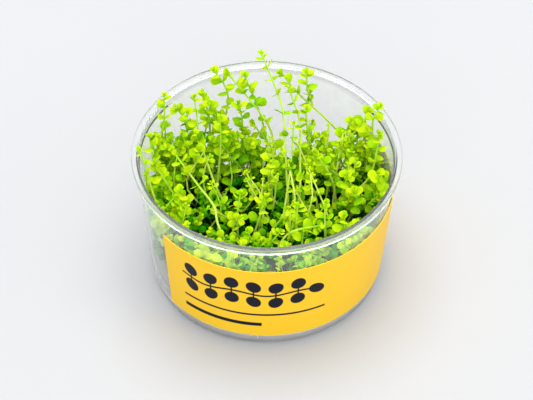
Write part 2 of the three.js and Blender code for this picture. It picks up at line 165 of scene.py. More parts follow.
class Shader:
    """A material's node tree, built from one node method."""

    def __init__(self, name: str) -> None:
        """Makes an empty material.

        Args:
            name: The material's name.
        """
        self.material = bpy.data.materials.new(name)
        self.material.use_nodes = True
        self.tree = self.material.node_tree
        self.tree.nodes.clear()

    def node(
        self,
        kind: str,
        settings: Optional[dict[str, object]] = None,
        inputs: Optional[dict[str | int, object]] = None,
    ) -> bpy.types.Node:
        """Adds a node.

        Args:
            kind: The node's type.
            settings: Values of its own properties, which are set first.
            inputs: Numbers, colours or links for its input sockets.

        Returns:
            The node.
        """
        node = self.tree.nodes.new(kind)
        for key, setting in (settings or {}).items():
            setattr(node, key, setting)
        for key, content in (inputs or {}).items():
            socket = node.inputs[key]
            if isinstance(content, Value):
                self.tree.links.new(content.socket, socket)
            elif isinstance(content, bpy.types.NodeSocket):
                self.tree.links.new(content, socket)
            elif isinstance(content, tuple) and socket.type == "RGBA":
                socket.default_value = (*content, 1.0)
            else:
                socket.default_value = content
        return node

    def value(self, node: bpy.types.Node, output: str | int = 0) -> Value:
        """One of a node's outputs as a value."""
        return Value(self, node.outputs[output])

    def attribute(self, name: str, output: str = "Fac") -> Value:
        """A value stored on the mesh."""
        return self.value(self.node("ShaderNodeAttribute", {"attribute_name": name}), output)

    def parts(self, vector: Value) -> tuple[Value, Value, Value]:
        """Splits a vector in its three numbers.

        Args:
            vector: The vector.

        Returns:
            Its three numbers.
        """
        node = self.node("ShaderNodeSeparateXYZ", inputs={0: vector})
        return self.value(node, 0), self.value(node, 1), self.value(node, 2)

    def place(self) -> Value:
        """The point's place in the object's own coordinates."""
        return self.value(self.node("ShaderNodeTexCoord"), "Object")

    def noise(self, scale: float, detail: float = 2.0, stretch: Optional[Stretch] = None) -> Value:
        """Cloudy noise on the object's own coordinates.

        Args:
            scale: How many clouds there are to a metre.
            detail: How many finer layers it has.
            stretch: How much it is squeezed along each axis.

        Returns:
            The noise, from 0 to 1.
        """
        place = self.place()
        if stretch is not None:
            mapping = self.node("ShaderNodeMapping", inputs={"Vector": place, "Scale": stretch})
            place = self.value(mapping)
        inputs = {"Vector": place, "Scale": scale, "Detail": detail}
        return self.value(self.node("ShaderNodeTexNoise", inputs=inputs), "Fac")

    def mix(self, factor: Value | float, first: object, second: object) -> bpy.types.NodeSocket:
        """Mixes two colours.

        Args:
            factor: The share of the second.
            first: A colour, or a link that gives one.
            second: A colour, or a link that gives one.

        Returns:
            The mixed colour.
        """
        node = self.node("ShaderNodeMix", {"data_type": "RGBA"}, {0: factor, 6: first, 7: second})
        return node.outputs[2]

    def three_tones(
        self, tone: Value, low: Colour, middle: Colour, high: Colour
    ) -> bpy.types.NodeSocket:
        """Runs through three colours.

        Args:
            tone: Where to stand among them, from 0 to 1.
            low: The colour at 0.
            middle: The colour at 0.5.
            high: The colour at 1.

        Returns:
            The colour.
        """
        lower_half = self.mix((tone * 2.0).clamped(), low, middle)
        return self.mix((tone * 2.0 - 1.0).clamped(), lower_half, high)

    def bump(self, height: Value, distance: float) -> bpy.types.NodeSocket:
        """A bumped normal.

        Args:
            height: The height, from 0 to 1.
            distance: What a height of 1 stands for, in metres.

        Returns:
            The normal.
        """
        inputs = {"Height": height, "Distance": distance, "Strength": 1.0}
        return self.node("ShaderNodeBump", inputs=inputs).outputs[0]

    def principled(self, **inputs: object) -> bpy.types.NodeSocket:
        """A Principled shader.

        Args:
            inputs: What its sockets hold, by their names with underscores for spaces.

        Returns:
            The shader.
        """
        named = {key.replace("_", " "): content for key, content in inputs.items()}
        return self.node("ShaderNodeBsdfPrincipled", inputs=named).outputs[0]

    def blend(self, factor: Value | float, first: object, second: object) -> bpy.types.NodeSocket:
        """Mixes two shaders."""
        return self.node("ShaderNodeMixShader", inputs={0: factor, 1: first, 2: second}).outputs[0]

    def translucent(self, colour: Colour) -> bpy.types.NodeSocket:
        """A shader for light that comes through from behind."""
        return self.node("ShaderNodeBsdfTranslucent", inputs={"Color": colour}).outputs[0]

    def with_light_shadow(self, solid: bpy.types.NodeSocket, shade: Colour) -> bpy.types.NodeSocket:
        """Gives a clear shader a shadow that is only a tint, so that lamps shine through it.

        Args:
            solid: The clear shader.
            shade: The colour that is left of the light in its shadow.

        Returns:
            The shader.
        """
        ray = self.node("ShaderNodeLightPath")
        open_air = self.node("ShaderNodeBsdfTransparent", inputs={0: shade}).outputs[0]
        return self.blend(self.value(ray, "Is Shadow Ray"), solid, open_air)

    def finish(
        self, surface: bpy.types.NodeSocket, volume: Optional[bpy.types.NodeSocket] = None
    ) -> bpy.types.Material:
        """Joins the shader to the material's output.

        Args:
            surface: The surface's shader.
            volume: The shader of what fills it, if anything.

        Returns:
            The material.
        """
        inputs = {"Surface": surface}
        if volume is not None:
            inputs["Volume"] = volume
        self.node("ShaderNodeOutputMaterial", inputs=inputs)
        return self.material


@dataclass(frozen=True)
class ClearPlastic:
    """Clear moulded plastic with faint flow marks and scuffs, duller at its thick rim and foot."""

    name: str = "clear_plastic"
    colour: Colour = (1.0, 1.0, 1.0)
    # greyer colour at the rim: painted shade that dims its brightness
    rim_shade_colour: Colour = (0.84, 0.85, 0.86)
    clearness: float = 0.95
    roughness: float = 0.02
    moulded_haze: float = 0.2           # added roughness of the rim and the foot
    rim_from: float = 53.4 * MM
    foot_to: float = 2.2 * MM
    refraction: float = 1.38
    shade: Colour = (0.99, 0.99, 0.99)
    flow_scale: float = 30.0
    flow_stretch: Stretch = (1.0, 1.0, 0.3)
    flow_height: float = 0.05 * MM
    scuff_scale: float = 420.0
    scuff_stretch: Stretch = (1.0, 1.0, 0.25)
    scuff_edge: Range = (0.62, 0.2)     # where the noise counts as a scuff, and how softly
    scuff_roughness: float = 0.05

    def material(self) -> bpy.types.Material:
        """Builds the material.

        Returns:
            The material.
        """
        shader = Shader(self.name)
        flow = shader.noise(self.flow_scale, 2.0, self.flow_stretch)
        scuffs = shader.noise(self.scuff_scale, 3.0, self.scuff_stretch).above(*self.scuff_edge)
        _, _, height = shader.parts(shader.place())
        in_rim = height.above(self.rim_from, MM)
        haze = (in_rim + height.below(self.foot_to, MM)) * self.moulded_haze
        # the rim's colour is greyed: painted shade
        solid = shader.principled(
            Base_Color=shader.mix(in_rim, self.colour, self.rim_shade_colour),
            Roughness=scuffs * self.scuff_roughness + haze + self.roughness,
            IOR=self.refraction,
            Transmission_Weight=self.clearness,
            Normal=shader.bump(flow, self.flow_height),
        )
        return shader.finish(shader.with_light_shadow(solid, self.shade))


@dataclass(frozen=True)
class ClearGel:
    """Pale nutrient gel, cloudy and a little lumpy."""

    colour: Colour = (0.95, 0.96, 0.93)
    clearness: float = 0.55
    roughness: float = 0.12
    refraction: float = 1.34
    shade: Colour = (0.9, 0.92, 0.86)
    tint: Colour = (0.86, 0.9, 0.74)
    density: float = 14.0
    lump_scale: float = 210.0
    lump_height: float = 0.3 * MM

    def material(self) -> bpy.types.Material:
        """Builds the material.

        Returns:
            The material.
        """
        shader = Shader("culture_gel")
        lumps = shader.noise(self.lump_scale, 4.0)
        solid = shader.principled(
            Base_Color=self.colour,
            Roughness=self.roughness,
            IOR=self.refraction,
            Transmission_Weight=self.clearness,
            Normal=shader.bump(lumps, self.lump_height),
        )
        depth = {"Color": self.tint, "Density": self.density}
        volume = shader.node("ShaderNodeVolumeAbsorption", inputs=depth).outputs[0]
        return shader.finish(shader.with_light_shadow(solid, self.shade), volume)


@dataclass(frozen=True)
class PrintedPaper:
    """Coated yellow paper, printed in dark navy with a creeping sprig over two plain rules.

    The mesh's attribute print_place gives each point's distance from the label's left edge and its
    height, both in millimetres. The sizes of the print are in millimetres too.
    """

    yellow: Colour = (0.9, 0.585, 0.03)
    deep_yellow: Colour = (0.88, 0.52, 0.017)
    ink: Colour = (0.004, 0.006, 0.018)
    soft: float = 0.22              # width of the ink's soft edge
    sprig_left: float = 9.0
    sprig_right: float = 57.0
    sprig_height: float = 30.6
    sprig_wave: float = 0.9
    stem_half: float = 0.45
    stalk_half: float = 0.3
    pitch: float = 8.0              # distance from one pair of leaves to the next
    leaf_reach: float = 4.3         # from the sprig's stem to the middle of a leaf
    leaf_half: Range = (2.7, 3.0)
    rules: tuple[tuple[float, float, float, float], ...] = (
        (9.0, 64.0, 18.4, 1.0),
        (9.0, 40.0, 12.6, 1.9),
    )                               # left end, right end, middle height and thickness
    fibre_scale: float = 900.0
    fibre_height: float = 0.02 * MM
    fibre_roughness: float = 0.14
    cloud_scale: float = 38.0
    cloud_share: float = 0.5            # how far the clouds go towards the deep yellow
    roughness: float = 0.4
    specular: float = 0.2
    coat: float = 0.15
    coat_roughness: float = 0.25

    def bar(self, across: Value, up: Value, left: float, right: float, half: float) -> Value:
        """A mask of a bar round the height where up is 0.

        Args:
            across: The distance along the label.
            up: The height over the bar's middle.
            left: Where the bar starts.
            right: Where it ends.
            half: Half of its thickness.

        Returns:
            The mask.
        """
        ends = across.above(left, self.soft) * across.below(right, self.soft)
        return ends * abs(up).below(half, self.soft)

    def sprig(self, across: Value, height: Value) -> Value:
        """A mask of the sprig: a waving stem with pairs of round leaves and one at its tip.

        Args:
            across: The distance along the label.
            height: The height on the label.

        Returns:
            The mask.
        """
        wave = (across * (TURN / (3 * self.pitch))).math("SINE") * self.sprig_wave
        up = height - self.sprig_height - wave
        stem = self.bar(across, up, self.sprig_left, self.sprig_right + 1.0, self.stem_half)
        cell = (across - self.sprig_left).math("MODULO", self.pitch) - self.pitch / 2
        half_wide, half_high = self.leaf_half
        soft = 2 * self.soft / half_wide
        wide = cell / half_wide
        high = (abs(up) - self.leaf_reach) / half_high
        ends = across.above(self.sprig_left, self.soft) * across.below(self.sprig_right, self.soft)
        pairs = (wide * wide + high * high).below(1.0, soft) * ends
        end_wide = (across - (self.sprig_right + half_high)) / half_high
        end_high = up / half_wide
        tip = (end_wide * end_wide + end_high * end_high).below(1.0, soft)
        stalk = self.bar(abs(cell), abs(up), -1.0, self.stalk_half, self.leaf_reach) * ends
        return stem.math("MAXIMUM", pairs).math("MAXIMUM", tip).math("MAXIMUM", stalk)

    def material(self) -> bpy.types.Material:
        """Builds the material.

        Returns:
            The material.
        """
        shader = Shader("printed_label")
        across, height, _ = shader.parts(shader.attribute("print_place", "Vector"))
        ink = self.sprig(across, height)
        for left, right, middle, thickness in self.rules:
            rule = self.bar(across, height - middle, left, right, thickness / 2)
            ink = ink.math("MAXIMUM", rule)
        fibres = shader.noise(self.fibre_scale, 3.0)
        cloud = shader.noise(self.cloud_scale, 2.0)
        paper = shader.mix(cloud * self.cloud_share, self.yellow, self.deep_yellow)
        surface = shader.principled(
            Base_Color=shader.mix(ink, paper, self.ink),
            Roughness=fibres * self.fibre_roughness + self.roughness,
            Specular_IOR_Level=self.specular,
            Coat_Weight=self.coat,
            Coat_Roughness=self.coat_roughness,
            Normal=shader.bump(fibres, self.fibre_height),
        )
        return shader.finish(surface)


@dataclass(frozen=True)
class PaperBack:
    """The label's unprinted back, pale with glue."""

    pale: Colour = (0.94, 0.93, 0.82)
    glue: Colour = (0.86, 0.84, 0.68)
    smear_scale: float = 90.0
    smear_stretch: Stretch = (1.0, 1.0, 0.3)
    smear_height: float = 0.05 * MM
    smear_edge: Range = (0.55, 0.3)     # where the noise counts as glue, and how softly
    smear_roughness: float = 0.2
    roughness: float = 0.4
    specular: float = 0.3

    def material(self) -> bpy.types.Material:
        """Builds the material.

        Returns:
            The material.
        """
        shader = Shader("label_back")
        smears = shader.noise(self.smear_scale, 4.0, self.smear_stretch)
        surface = shader.principled(
            Base_Color=shader.mix(smears.above(*self.smear_edge), self.pale, self.glue),
            Roughness=smears * self.smear_roughness + self.roughness,
            Specular_IOR_Level=self.specular,
            Normal=shader.bump(smears, self.smear_height),
        )
        return shader.finish(surface)


@dataclass(frozen=True)
class LeafTissue:
    """Soft fleshy leaf that lets light through.

    The mesh's attribute tone runs from 0, old and deep green, to 1, young and yellow-green. For the
    carpet's leaves it also carries painted shade: it is lower the deeper they stand. The mesh's
    attribute leaf_place gives each point's place on its leaf, along and across.
    """

    # the colour of old leaves, which also serves as painted shade for leaves deep in the carpet
    old_and_shaded: Colour = (0.002, 0.044, 0.0)
    grown: Colour = (0.07, 0.5, 0.0)
    young: Colour = (0.74, 0.89, 0.018)
    vein: Colour = (0.62, 0.8, 0.06)
    light_through: Colour = (0.27, 0.76, 0.0)
    least_glow: float = 0.04            # share of the light that comes through when old
    most_glow: float = 0.26             # and when young
    roughness: float = 0.32
    specular: float = 0.03
    skin_roughness: float = 0.16
    mottle: float = 0.2
    mottle_scale: float = 260.0
    skin_scale: float = 1500.0
    skin_height: float = 0.06 * MM
    dark_foot: float = 0.12             # tone that a leaf loses by its stalk
    light_edge: float = 0.06            # tone that it gains along its edges
    rib_share: float = 0.3
    skin_bumps: float = 0.4
    rib_groove: float = 0.6
    # each of these is where a mask is one half, and the width over which it fades
    foot_mask: Range = (0.3, 0.35)
    edge_mask: Range = (0.3, 0.1)
    rib_mask: Range = (0.035, 0.05)
    rib_start: Range = (0.1, 0.3)
    rib_end: Range = (0.85, 0.2)

    def material(self) -> bpy.types.Material:
        """Builds the material.

        Returns:
            The material.
        """
        shader = Shader("leaf")
        cloud = shader.noise(self.mottle_scale, 3.0) - 0.5
        age = (shader.attribute("tone") + cloud * self.mottle).clamped()
        along, across, _ = shader.parts(shader.attribute("leaf_place", "Vector"))
        by_stalk = along.below(*self.foot_mask) * self.dark_foot
        by_edge = abs(across).above(*self.edge_mask) * self.light_edge
        age = (age - by_stalk + by_edge).clamped()
        flesh = shader.three_tones(age, self.old_and_shaded, self.grown, self.young)
        rib = abs(across).below(*self.rib_mask) * along.above(*self.rib_start)
        rib = rib * along.below(*self.rib_end)
        skin = shader.noise(self.skin_scale, 2.0)
        surface = shader.principled(
            Base_Color=shader.mix(rib * age * self.rib_share, flesh, self.vein),
            Roughness=skin * self.skin_roughness + self.roughness,
            Specular_IOR_Level=self.specular,
            Normal=shader.bump(skin * self.skin_bumps + rib * -self.rib_groove, self.skin_height),
        )
        glow = age * (self.most_glow - self.least_glow) + self.least_glow
        return shader.finish(shader.blend(glow, surface, shader.translucent(self.light_through)))


@dataclass(frozen=True)
class StemTissue:
    """Thin watery stem.

    The mesh's attribute tone runs from 0, dark and shaded, by 0.5, green, to 1, pale.
    """

    shaded: Colour = (0.015, 0.09, 0.001)
    green: Colour = (0.46, 0.82, 0.025)
    pale: Colour = (0.92, 1.0, 0.3)
    light_through: Colour = (0.95, 1.0, 0.3)
    glow: float = 0.4
    roughness: float = 0.3
    specular: float = 0.15
    streak_roughness: float = 0.12
    streak_scale: float = 700.0
    streak_stretch: Stretch = (1.0, 1.0, 0.2)
    streak_height: float = 0.04 * MM
    streak_tone: float = 0.12
    glow_mask: Range = (0.35, 0.3)      # the tone where light begins to come through, and softness

    def material(self) -> bpy.types.Material:
        """Builds the material.

        Returns:
            The material.
        """
        shader = Shader("stem")
        streaks = shader.noise(self.streak_scale, 2.0, self.streak_stretch)
        age = (shader.attribute("tone") + (streaks - 0.5) * self.streak_tone).clamped()
        surface = shader.principled(
            Base_Color=shader.three_tones(age, self.shaded, self.green, self.pale),
            Roughness=streaks * self.streak_roughness + self.roughness,
            Specular_IOR_Level=self.specular,
            Normal=shader.bump(streaks, self.streak_height),
        )
        glow = age.above(*self.glow_mask) * self.glow
        return shader.finish(shader.blend(glow, surface, shader.translucent(self.light_through)))


@dataclass(frozen=True)
class StudioFloor:
    """Plain pale matt floor, very faintly clouded."""

    colour: Colour = (0.525, 0.531, 0.541)
    cloud: Colour = (0.503, 0.509, 0.52)
    cloud_scale: float = 45.0
    cloud_share: float = 0.3            # how far the clouds go towards their own colour
    roughness: float = 0.8
    specular: float = 0.1

    def material(self) -> bpy.types.Material:
        """Builds the material.

        Returns:
            The material.
        """
        shader = Shader("studio_floor")
        clouds = shader.noise(self.cloud_scale, 3.0)
        surface = shader.principled(
            Base_Color=shader.mix(clouds * self.cloud_share, self.colour, self.cloud),
            Roughness=self.roughness,
            Specular_IOR_Level=self.specular,
        )
        return shader.finish(surface)


# ----------------------------------------------------------------------------------- mesh tools


def finished(name: str, mesh_maker: bmesh.types.BMesh, materials: Sequence[bpy.types.Material],
             nodes: Sequence[str], crease: float = TURNED_CREASE) -> bpy.types.Object:
    """Turns a bmesh into a finished piece that rides on the part and replaces its CAD nodes.

    Args:
        name: The piece's name.
        mesh_maker: The bmesh, which is freed.
        materials: The materials, in the order of the faces' material numbers.
        nodes: The CAD nodes that the piece stands for.
        crease: The angle between faces, in degrees, past which their edge looks sharp.

    Returns:
        The piece.
    """
    mesh = bpy.data.meshes.new(name)
    mesh_maker.to_mesh(mesh)
    mesh_maker.free()
    mesh.polygons.foreach_set("use_smooth", [True] * len(mesh.polygons))
    mesh.set_sharp_from_angle(angle=math.radians(crease))
    for material in materials:
        mesh.materials.append(material)
    piece = bpy.data.objects.new(name, mesh)
    bpy.context.scene.collection.objects.link(piece)
    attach(piece, BODY)
    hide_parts(*nodes)
    triangles = sum(len(polygon.vertices) - 2 for polygon in mesh.polygons)
    LOG.info("%s: %d triangles, replaces %s", name, triangles, ", ".join(nodes))
    return piece


def spun(profile: Sequence[tuple[float, float]], steps: int, turn: float = TURN,
         start: float = 0.0) -> bmesh.types.BMesh:
    """Spins a profile round the Z axis.

    Args:
        profile: The profile's radius and height pairs. A profile that starts on the axis also ends
            there. Any other one is closed from its last point to its first.
        steps: How many steps the turn has.
        turn: How far it turns, in radians.
        start: The angle that it starts at, from -Y towards +X.

    Returns:
        The bmesh, closed and with its faces pointing out.
    """
    maker = bmesh.new()
    points = [maker.verts.new((r * math.sin(start), -r * math.cos(start), z)) for r, z in profile]
    on_axis = profile[0][0] == 0.0
    pairs = list(zip(points, points[1:]))
    if not on_axis:
        pairs.append((points[-1], points[0]))
    edges = [maker.edges.new(pair) for pair in pairs]
    full = math.isclose(turn, TURN)
    bmesh.ops.spin(maker, geom=points + edges, cent=(0, 0, 0), axis=(0, 0, 1), angle=turn,
                   steps=steps, use_merge=full, use_duplicate=False)
    if not full:
        bmesh.ops.holes_fill(maker, edges=[e for e in maker.edges if e.is_boundary], sides=0)
    bmesh.ops.remove_doubles(maker, verts=maker.verts, dist=MERGE)
    bmesh.ops.recalc_face_normals(maker, faces=maker.faces)
    return maker


def rounded(maker: bmesh.types.BMesh, wanted: Callable[[Vector], bool], offset: float,
            segments: int = 4) -> None:
    """Rounds each edge that runs round the Z axis and whose ends are wanted.

    Args:
        maker: The bmesh to change.
        wanted: Says whether a point is on an edge to round.
        offset: How far the rounding reaches from the edge.
        segments: How many faces the rounding has across.
    """
    edges = []
    for edge in maker.edges:
        first, second = (vert.co for vert in edge.verts)
        level = abs(first.z - second.z) < MERGE and abs(first.xy.length - second.xy.length) < MERGE
        if level and wanted(first):
            edges.append(edge)
    bmesh.ops.bevel(maker, geom=edges, offset=offset, segments=segments, profile=0.5,
                    affect="EDGES", material=-1)


def path_length(path: Sequence[Vector]) -> float:
    """The length of a line through some points."""
    return sum((b - a).length for a, b in zip(path, path[1:]))


def smooth_path(points: Sequence[Vector], count: int, fineness: int = 12) -> list[Vector]:
    """Points along the centripetal curve through some points, which the CAD stems follow too.

    Args:
        points: The points that it passes.
        count: How many points to give, with even steps along it.
        fineness: How many short lines each stretch is measured with.

    Returns:
        The curve's points, from its start to its end.
    """
    guide = [points[0] * 2 - points[1], *points, points[-1] * 2 - points[-2]]
    fine = [points[0].copy()]
    for before, start, end, after in zip(guide, guide[1:], guide[2:], guide[3:]):
        stretches = ((before, start), (start, end), (end, after))
        first, middle, last = (max((b - a).length, TINY) ** 0.5 for a, b in stretches)
        lead = (start - before) / first - (end - before) / (first + middle) + (end - start) / middle
        tail = (end - start) / middle - (after - start) / (middle + last) + (after - end) / last
        lead *= middle
        tail *= middle
        for step in range(1, fineness + 1):
            t = step / fineness
            fine.append(
                start * (2 * t**3 - 3 * t**2 + 1) + lead * (t**3 - 2 * t**2 + t)
                + end * (3 * t**2 - 2 * t**3) + tail * (t**3 - t**2)
            )
    lengths = [0.0]
    for a, b in zip(fine, fine[1:]):
        lengths.append(lengths[-1] + (b - a).length)
    result = []
    piece = 0
    for number in range(count):
        wanted = lengths[-1] * number / (count - 1)
        while piece < len(fine) - 2 and lengths[piece + 1] < wanted:
            piece += 1
        span = max(lengths[piece + 1] - lengths[piece], TINY)
        result.append(fine[piece].lerp(fine[piece + 1], (wanted - lengths[piece]) / span))
    return result


def astray(chance: random.Random, spread: Range, middle: Range = (0.0, 0.0)) -> Vector:
    """A level step of a chance length.

    Args:
        chance: The source of chance.
        spread: How far it strays along X and along Y.
        middle: The step that it strays from.

    Returns:
        The step.
    """
    return Vector((chance.gauss(middle[0], spread[0]), chance.gauss(middle[1], spread[1]), 0.0))


def place_on(path: Sequence[Vector], share: float) -> tuple[Vector, Vector]:
    """A place on a path of even steps.

    Args:
        path: The path's points.
        share: How far along it, from 0 to 1.

    Returns:
        The point there, and the way that the path runs there.
    """
    place = share * (len(path) - 1)
    first = min(int(place), len(path) - 2)
    way = (path[first + 1] - path[first]).normalized()
    return path[first].lerp(path[first + 1], place - first), way


# ------------------------------------------------------------------------------- leaves and stems


class Form(Enum):
    """How a leaf is curved: how far its edges rise, how far its tip hangs, and its width."""

    DOMED = (-0.22, 0.12, 1.0)
    FLAT = (-0.05, 0.05, 0.94)
    CUPPED = (0.26, -0.05, 0.96)
    HANGING = (-0.15, 0.3, 0.92)


@dataclass(frozen=True)
class LeafShape:
    """The mesh of one round leaf on a short stalk, one unit long.

    Its stalk starts at the origin and runs along +X, and its upper side faces +Z.
    """

    form: Form
    around: int
    rings: int
    thickness: float = 0.085
    blade: float = 0.85                 # the blade's share of the length
    stalk_from: float = 0.6             # how far back from the blade's middle the stalk begins
    stalk_narrowing: float = 0.45
    stalk_thickening: float = 0.5
    tip_widening: float = 0.1
    edge_curl: float = 2.2
    hang_from: float = 0.15

    def mesh(self) -> bpy.types.Mesh:
        """Builds the leaf from a flattened ball, with its attribute leaf_place.

        Returns:
            The mesh.
        """
        lift, hang, width = self.form.value
        maker = bmesh.new()
        bmesh.ops.create_uvsphere(maker, u_segments=self.around, v_segments=self.rings, radius=1.0)
        place = maker.verts.layers.float_vector.new("leaf_place")
        maker.verts.layers.float.new("tone")
        for vert in maker.verts:
            x, y, z = vert.co
            foot = max(0.0, -x - self.stalk_from) / (1 - self.stalk_from)
            x -= foot * (2 / self.blade - 2)
            y *= (1 - self.stalk_narrowing * foot) * (1 + self.tip_widening * x)
            along = (x + 1) * self.blade / 2 + 1 - self.blade
            height = z * self.thickness / 2 * (1 + self.stalk_thickening * foot)
            raised = lift * (y * width / 2) ** 2 * self.edge_curl
            height += raised - hang * max(0.0, along - self.hang_from) ** 2
            vert.co = Vector((along, y * width * self.blade / 2, height))
            vert[place] = Vector((along, y / 2, 0.0))
        mesh = bpy.data.meshes.new("leaf_shape")
        maker.to_mesh(mesh)
        maker.free()
        return mesh


class Growth:
    """A bmesh that leaves and stems are added to."""

    STEM_FACES = 1                      # the stems' material number, where the leaves' is 0

    def __init__(self, around: int, rings: int, sides: int) -> None:
        """Makes an empty growth.

        Args:
            around: How many sides a leaf's outline has.
            rings: How many rings its sphere starts with.
            sides: How many sides a stem has.
        """
        self.maker = bmesh.new()
        self.sides = sides
        self.shapes = {form: LeafShape(form, around, rings) for form in Form}
        self.meshes = {form: shape.mesh() for form, shape in self.shapes.items()}

    def add_leaf(self, form: Form, foot: Vector, along: Vector, facing: Vector, length: float,
                 tone: float) -> None:
        """Adds a leaf.

        Args:
            form: How it is curved.
            foot: Where its stalk starts.
            along: The way that it points.
            facing: The way that its upper side faces.
            length: The length of its blade.
            tone: How young it looks, from 0 to 1.
        """
        along = along.normalized()
        across = facing.cross(along).normalized()
        face = along.cross(across).normalized()
        turned = Matrix((along, across, face)).transposed().to_4x4()
        size = Matrix.Scale(length / self.shapes[form].blade, 4)
        leaf = self.meshes[form].copy()
        leaf.transform(Matrix.Translation(foot) @ turned @ size)
        leaf.attributes["tone"].data.foreach_set("value", [tone] * len(leaf.vertices))
        self.maker.from_mesh(leaf)
        bpy.data.meshes.remove(leaf)

    def add_stem(self, path: Sequence[Vector], radius: float, end_radius: float,
                 tones: tuple[float, float]) -> None:
        """Adds a stem, closed at both ends.

        Args:
            path: The points along its middle.
            radius: Its radius at its foot.
            end_radius: Its radius at its tip.
            tones: Its tone at its foot and at its tip.
        """
        maker = bmesh.new()
        bmesh.ops.create_circle(maker, cap_ends=True, segments=self.sides, radius=1.0)
        maker.verts.layers.float_vector.new("leaf_place")
        tone = maker.verts.layers.float.new("tone")
        facing = Vector((1.0, 0.0, 0.0))
        rim = maker.edges[:]
        verts = maker.verts[:]
        before = Matrix.Identity(4)
        last = len(path) - 1
        for number, point in enumerate(path):
            share = number / last
            if number > 0:
                grown = bmesh.ops.extrude_edge_only(maker, edges=rim)["geom"]
                rim = [part for part in grown if isinstance(part, bmesh.types.BMEdge)]
                verts = [part for part in grown if isinstance(part, bmesh.types.BMVert)]
            tangent = (path[min(number + 1, last)] - path[max(number - 1, 0)]).normalized()
            facing = (facing - tangent * facing.dot(tangent)).normalized()
            axes = Matrix((facing, tangent.cross(facing), tangent)).transposed().to_4x4()
            thick = Matrix.Scale(radius + (end_radius - radius) * share, 4)
            after = Matrix.Translation(point) @ axes @ thick
            bmesh.ops.transform(maker, matrix=after @ before.inverted(), verts=verts)
            before = after
            for vert in verts:
                vert[tone] = tones[0] + (tones[1] - tones[0]) * share
        bmesh.ops.holes_fill(maker, edges=rim, sides=0)
        bmesh.ops.recalc_face_normals(maker, faces=maker.faces)
        for face in maker.faces:
            face.material_index = self.STEM_FACES
        stem = bpy.data.meshes.new("stem")
        maker.to_mesh(stem)
        maker.free()
        self.maker.from_mesh(stem)
        bpy.data.meshes.remove(stem)

    def free_shapes(self) -> None:
        """Removes the leaf shapes once nothing more is added."""
        for mesh in self.meshes.values():
            bpy.data.meshes.remove(mesh)


# ------------------------------------------------------------------------------------ the holder


@dataclass(frozen=True)
class Cup:
    """The clear cup: a thin tapered wall on a base ring, with a flat rim and a step for a lid."""

    height: float = 57.0 * MM
    rim_radius: float = 50.0 * MM
    rim_thickness: float = 2.0 * MM
    mouth_radius: float = 47.45 * MM
    foot_radius: float = 43.3 * MM      # outside of the wall, carried down to z = 0
    slope: float = 0.088                # how far the wall widens for each unit of height
    wall: float = 1.0 * MM
    step_top: float = 53.4 * MM
    step_height: float = 0.7 * MM
    step_width: float = 0.4 * MM
    ring_inner: float = 38.4 * MM
    ring_outer: float = 42.3 * MM
    recess: float = 0.8 * MM
    corner: float = 1.1 * MM
    rim_rounding: float = 0.45 * MM
    foot_rounding: float = 0.4 * MM
    floor_top: float = 1.9 * MM
    floor_corner: float = 1.2 * MM
    foot_top: float = 5.4 * MM          # the milky foot ends here
    steps: int = 160

    def outer(self, height: float) -> float:
        """The wall's outer radius at a height."""
        return self.foot_radius + self.slope * height

    def inner(self, height: float) -> float:
        """The wall's inner radius at a height."""
        return self.outer(height) - self.wall

    def build(self, finish: ClearPlastic, foot_finish: ClearPlastic) -> bpy.types.Object:
        """Builds the cup.

        Args:
            finish: The wall's finish.
            foot_finish: The milkier finish of the foot, where the plastic is thick.

        Returns:
            The piece.
        """
        rim_under = self.height - self.rim_thickness
        step_bottom = self.step_top - self.step_height
        maker = spun([
            (0.0, self.recess),
            (self.ring_inner - self.recess, self.recess),
            (self.ring_inner, 0.0),
            (self.ring_outer, 0.0),
            (self.outer(self.corner), self.corner),
            (self.outer(self.foot_top), self.foot_top),
            (self.outer(rim_under), rim_under),
            (self.rim_radius, rim_under),
            (self.rim_radius, self.height),
            (self.mouth_radius, self.height),
            (self.inner(step_bottom) + self.step_width, self.step_top),
            (self.inner(step_bottom), step_bottom),
            (self.inner(self.floor_top + self.floor_corner), self.floor_top + self.floor_corner),
            (self.inner(self.floor_top) - self.floor_corner, self.floor_top),
            (0.0, self.floor_top),
        ], self.steps)
        rounded(maker, lambda p: p.z > self.height - NEAR, self.rim_rounding)
        rounded(maker, lambda p: p.z < rim_under + NEAR and p.xy.length > self.rim_radius - NEAR,
                self.rim_rounding)
        rounded(maker, lambda p: p.z < self.corner + NEAR and p.xy.length > self.ring_outer - NEAR,
                self.foot_rounding)
        for face in maker.faces:
            middle = face.calc_center_median()
            in_foot = middle.z < self.foot_top and middle.xy.length > self.ring_inner - MM
            face.material_index = int(in_foot)
        materials = [finish.material(), foot_finish.material()]
        return finished("clear_cup", maker, materials, ["cup"])


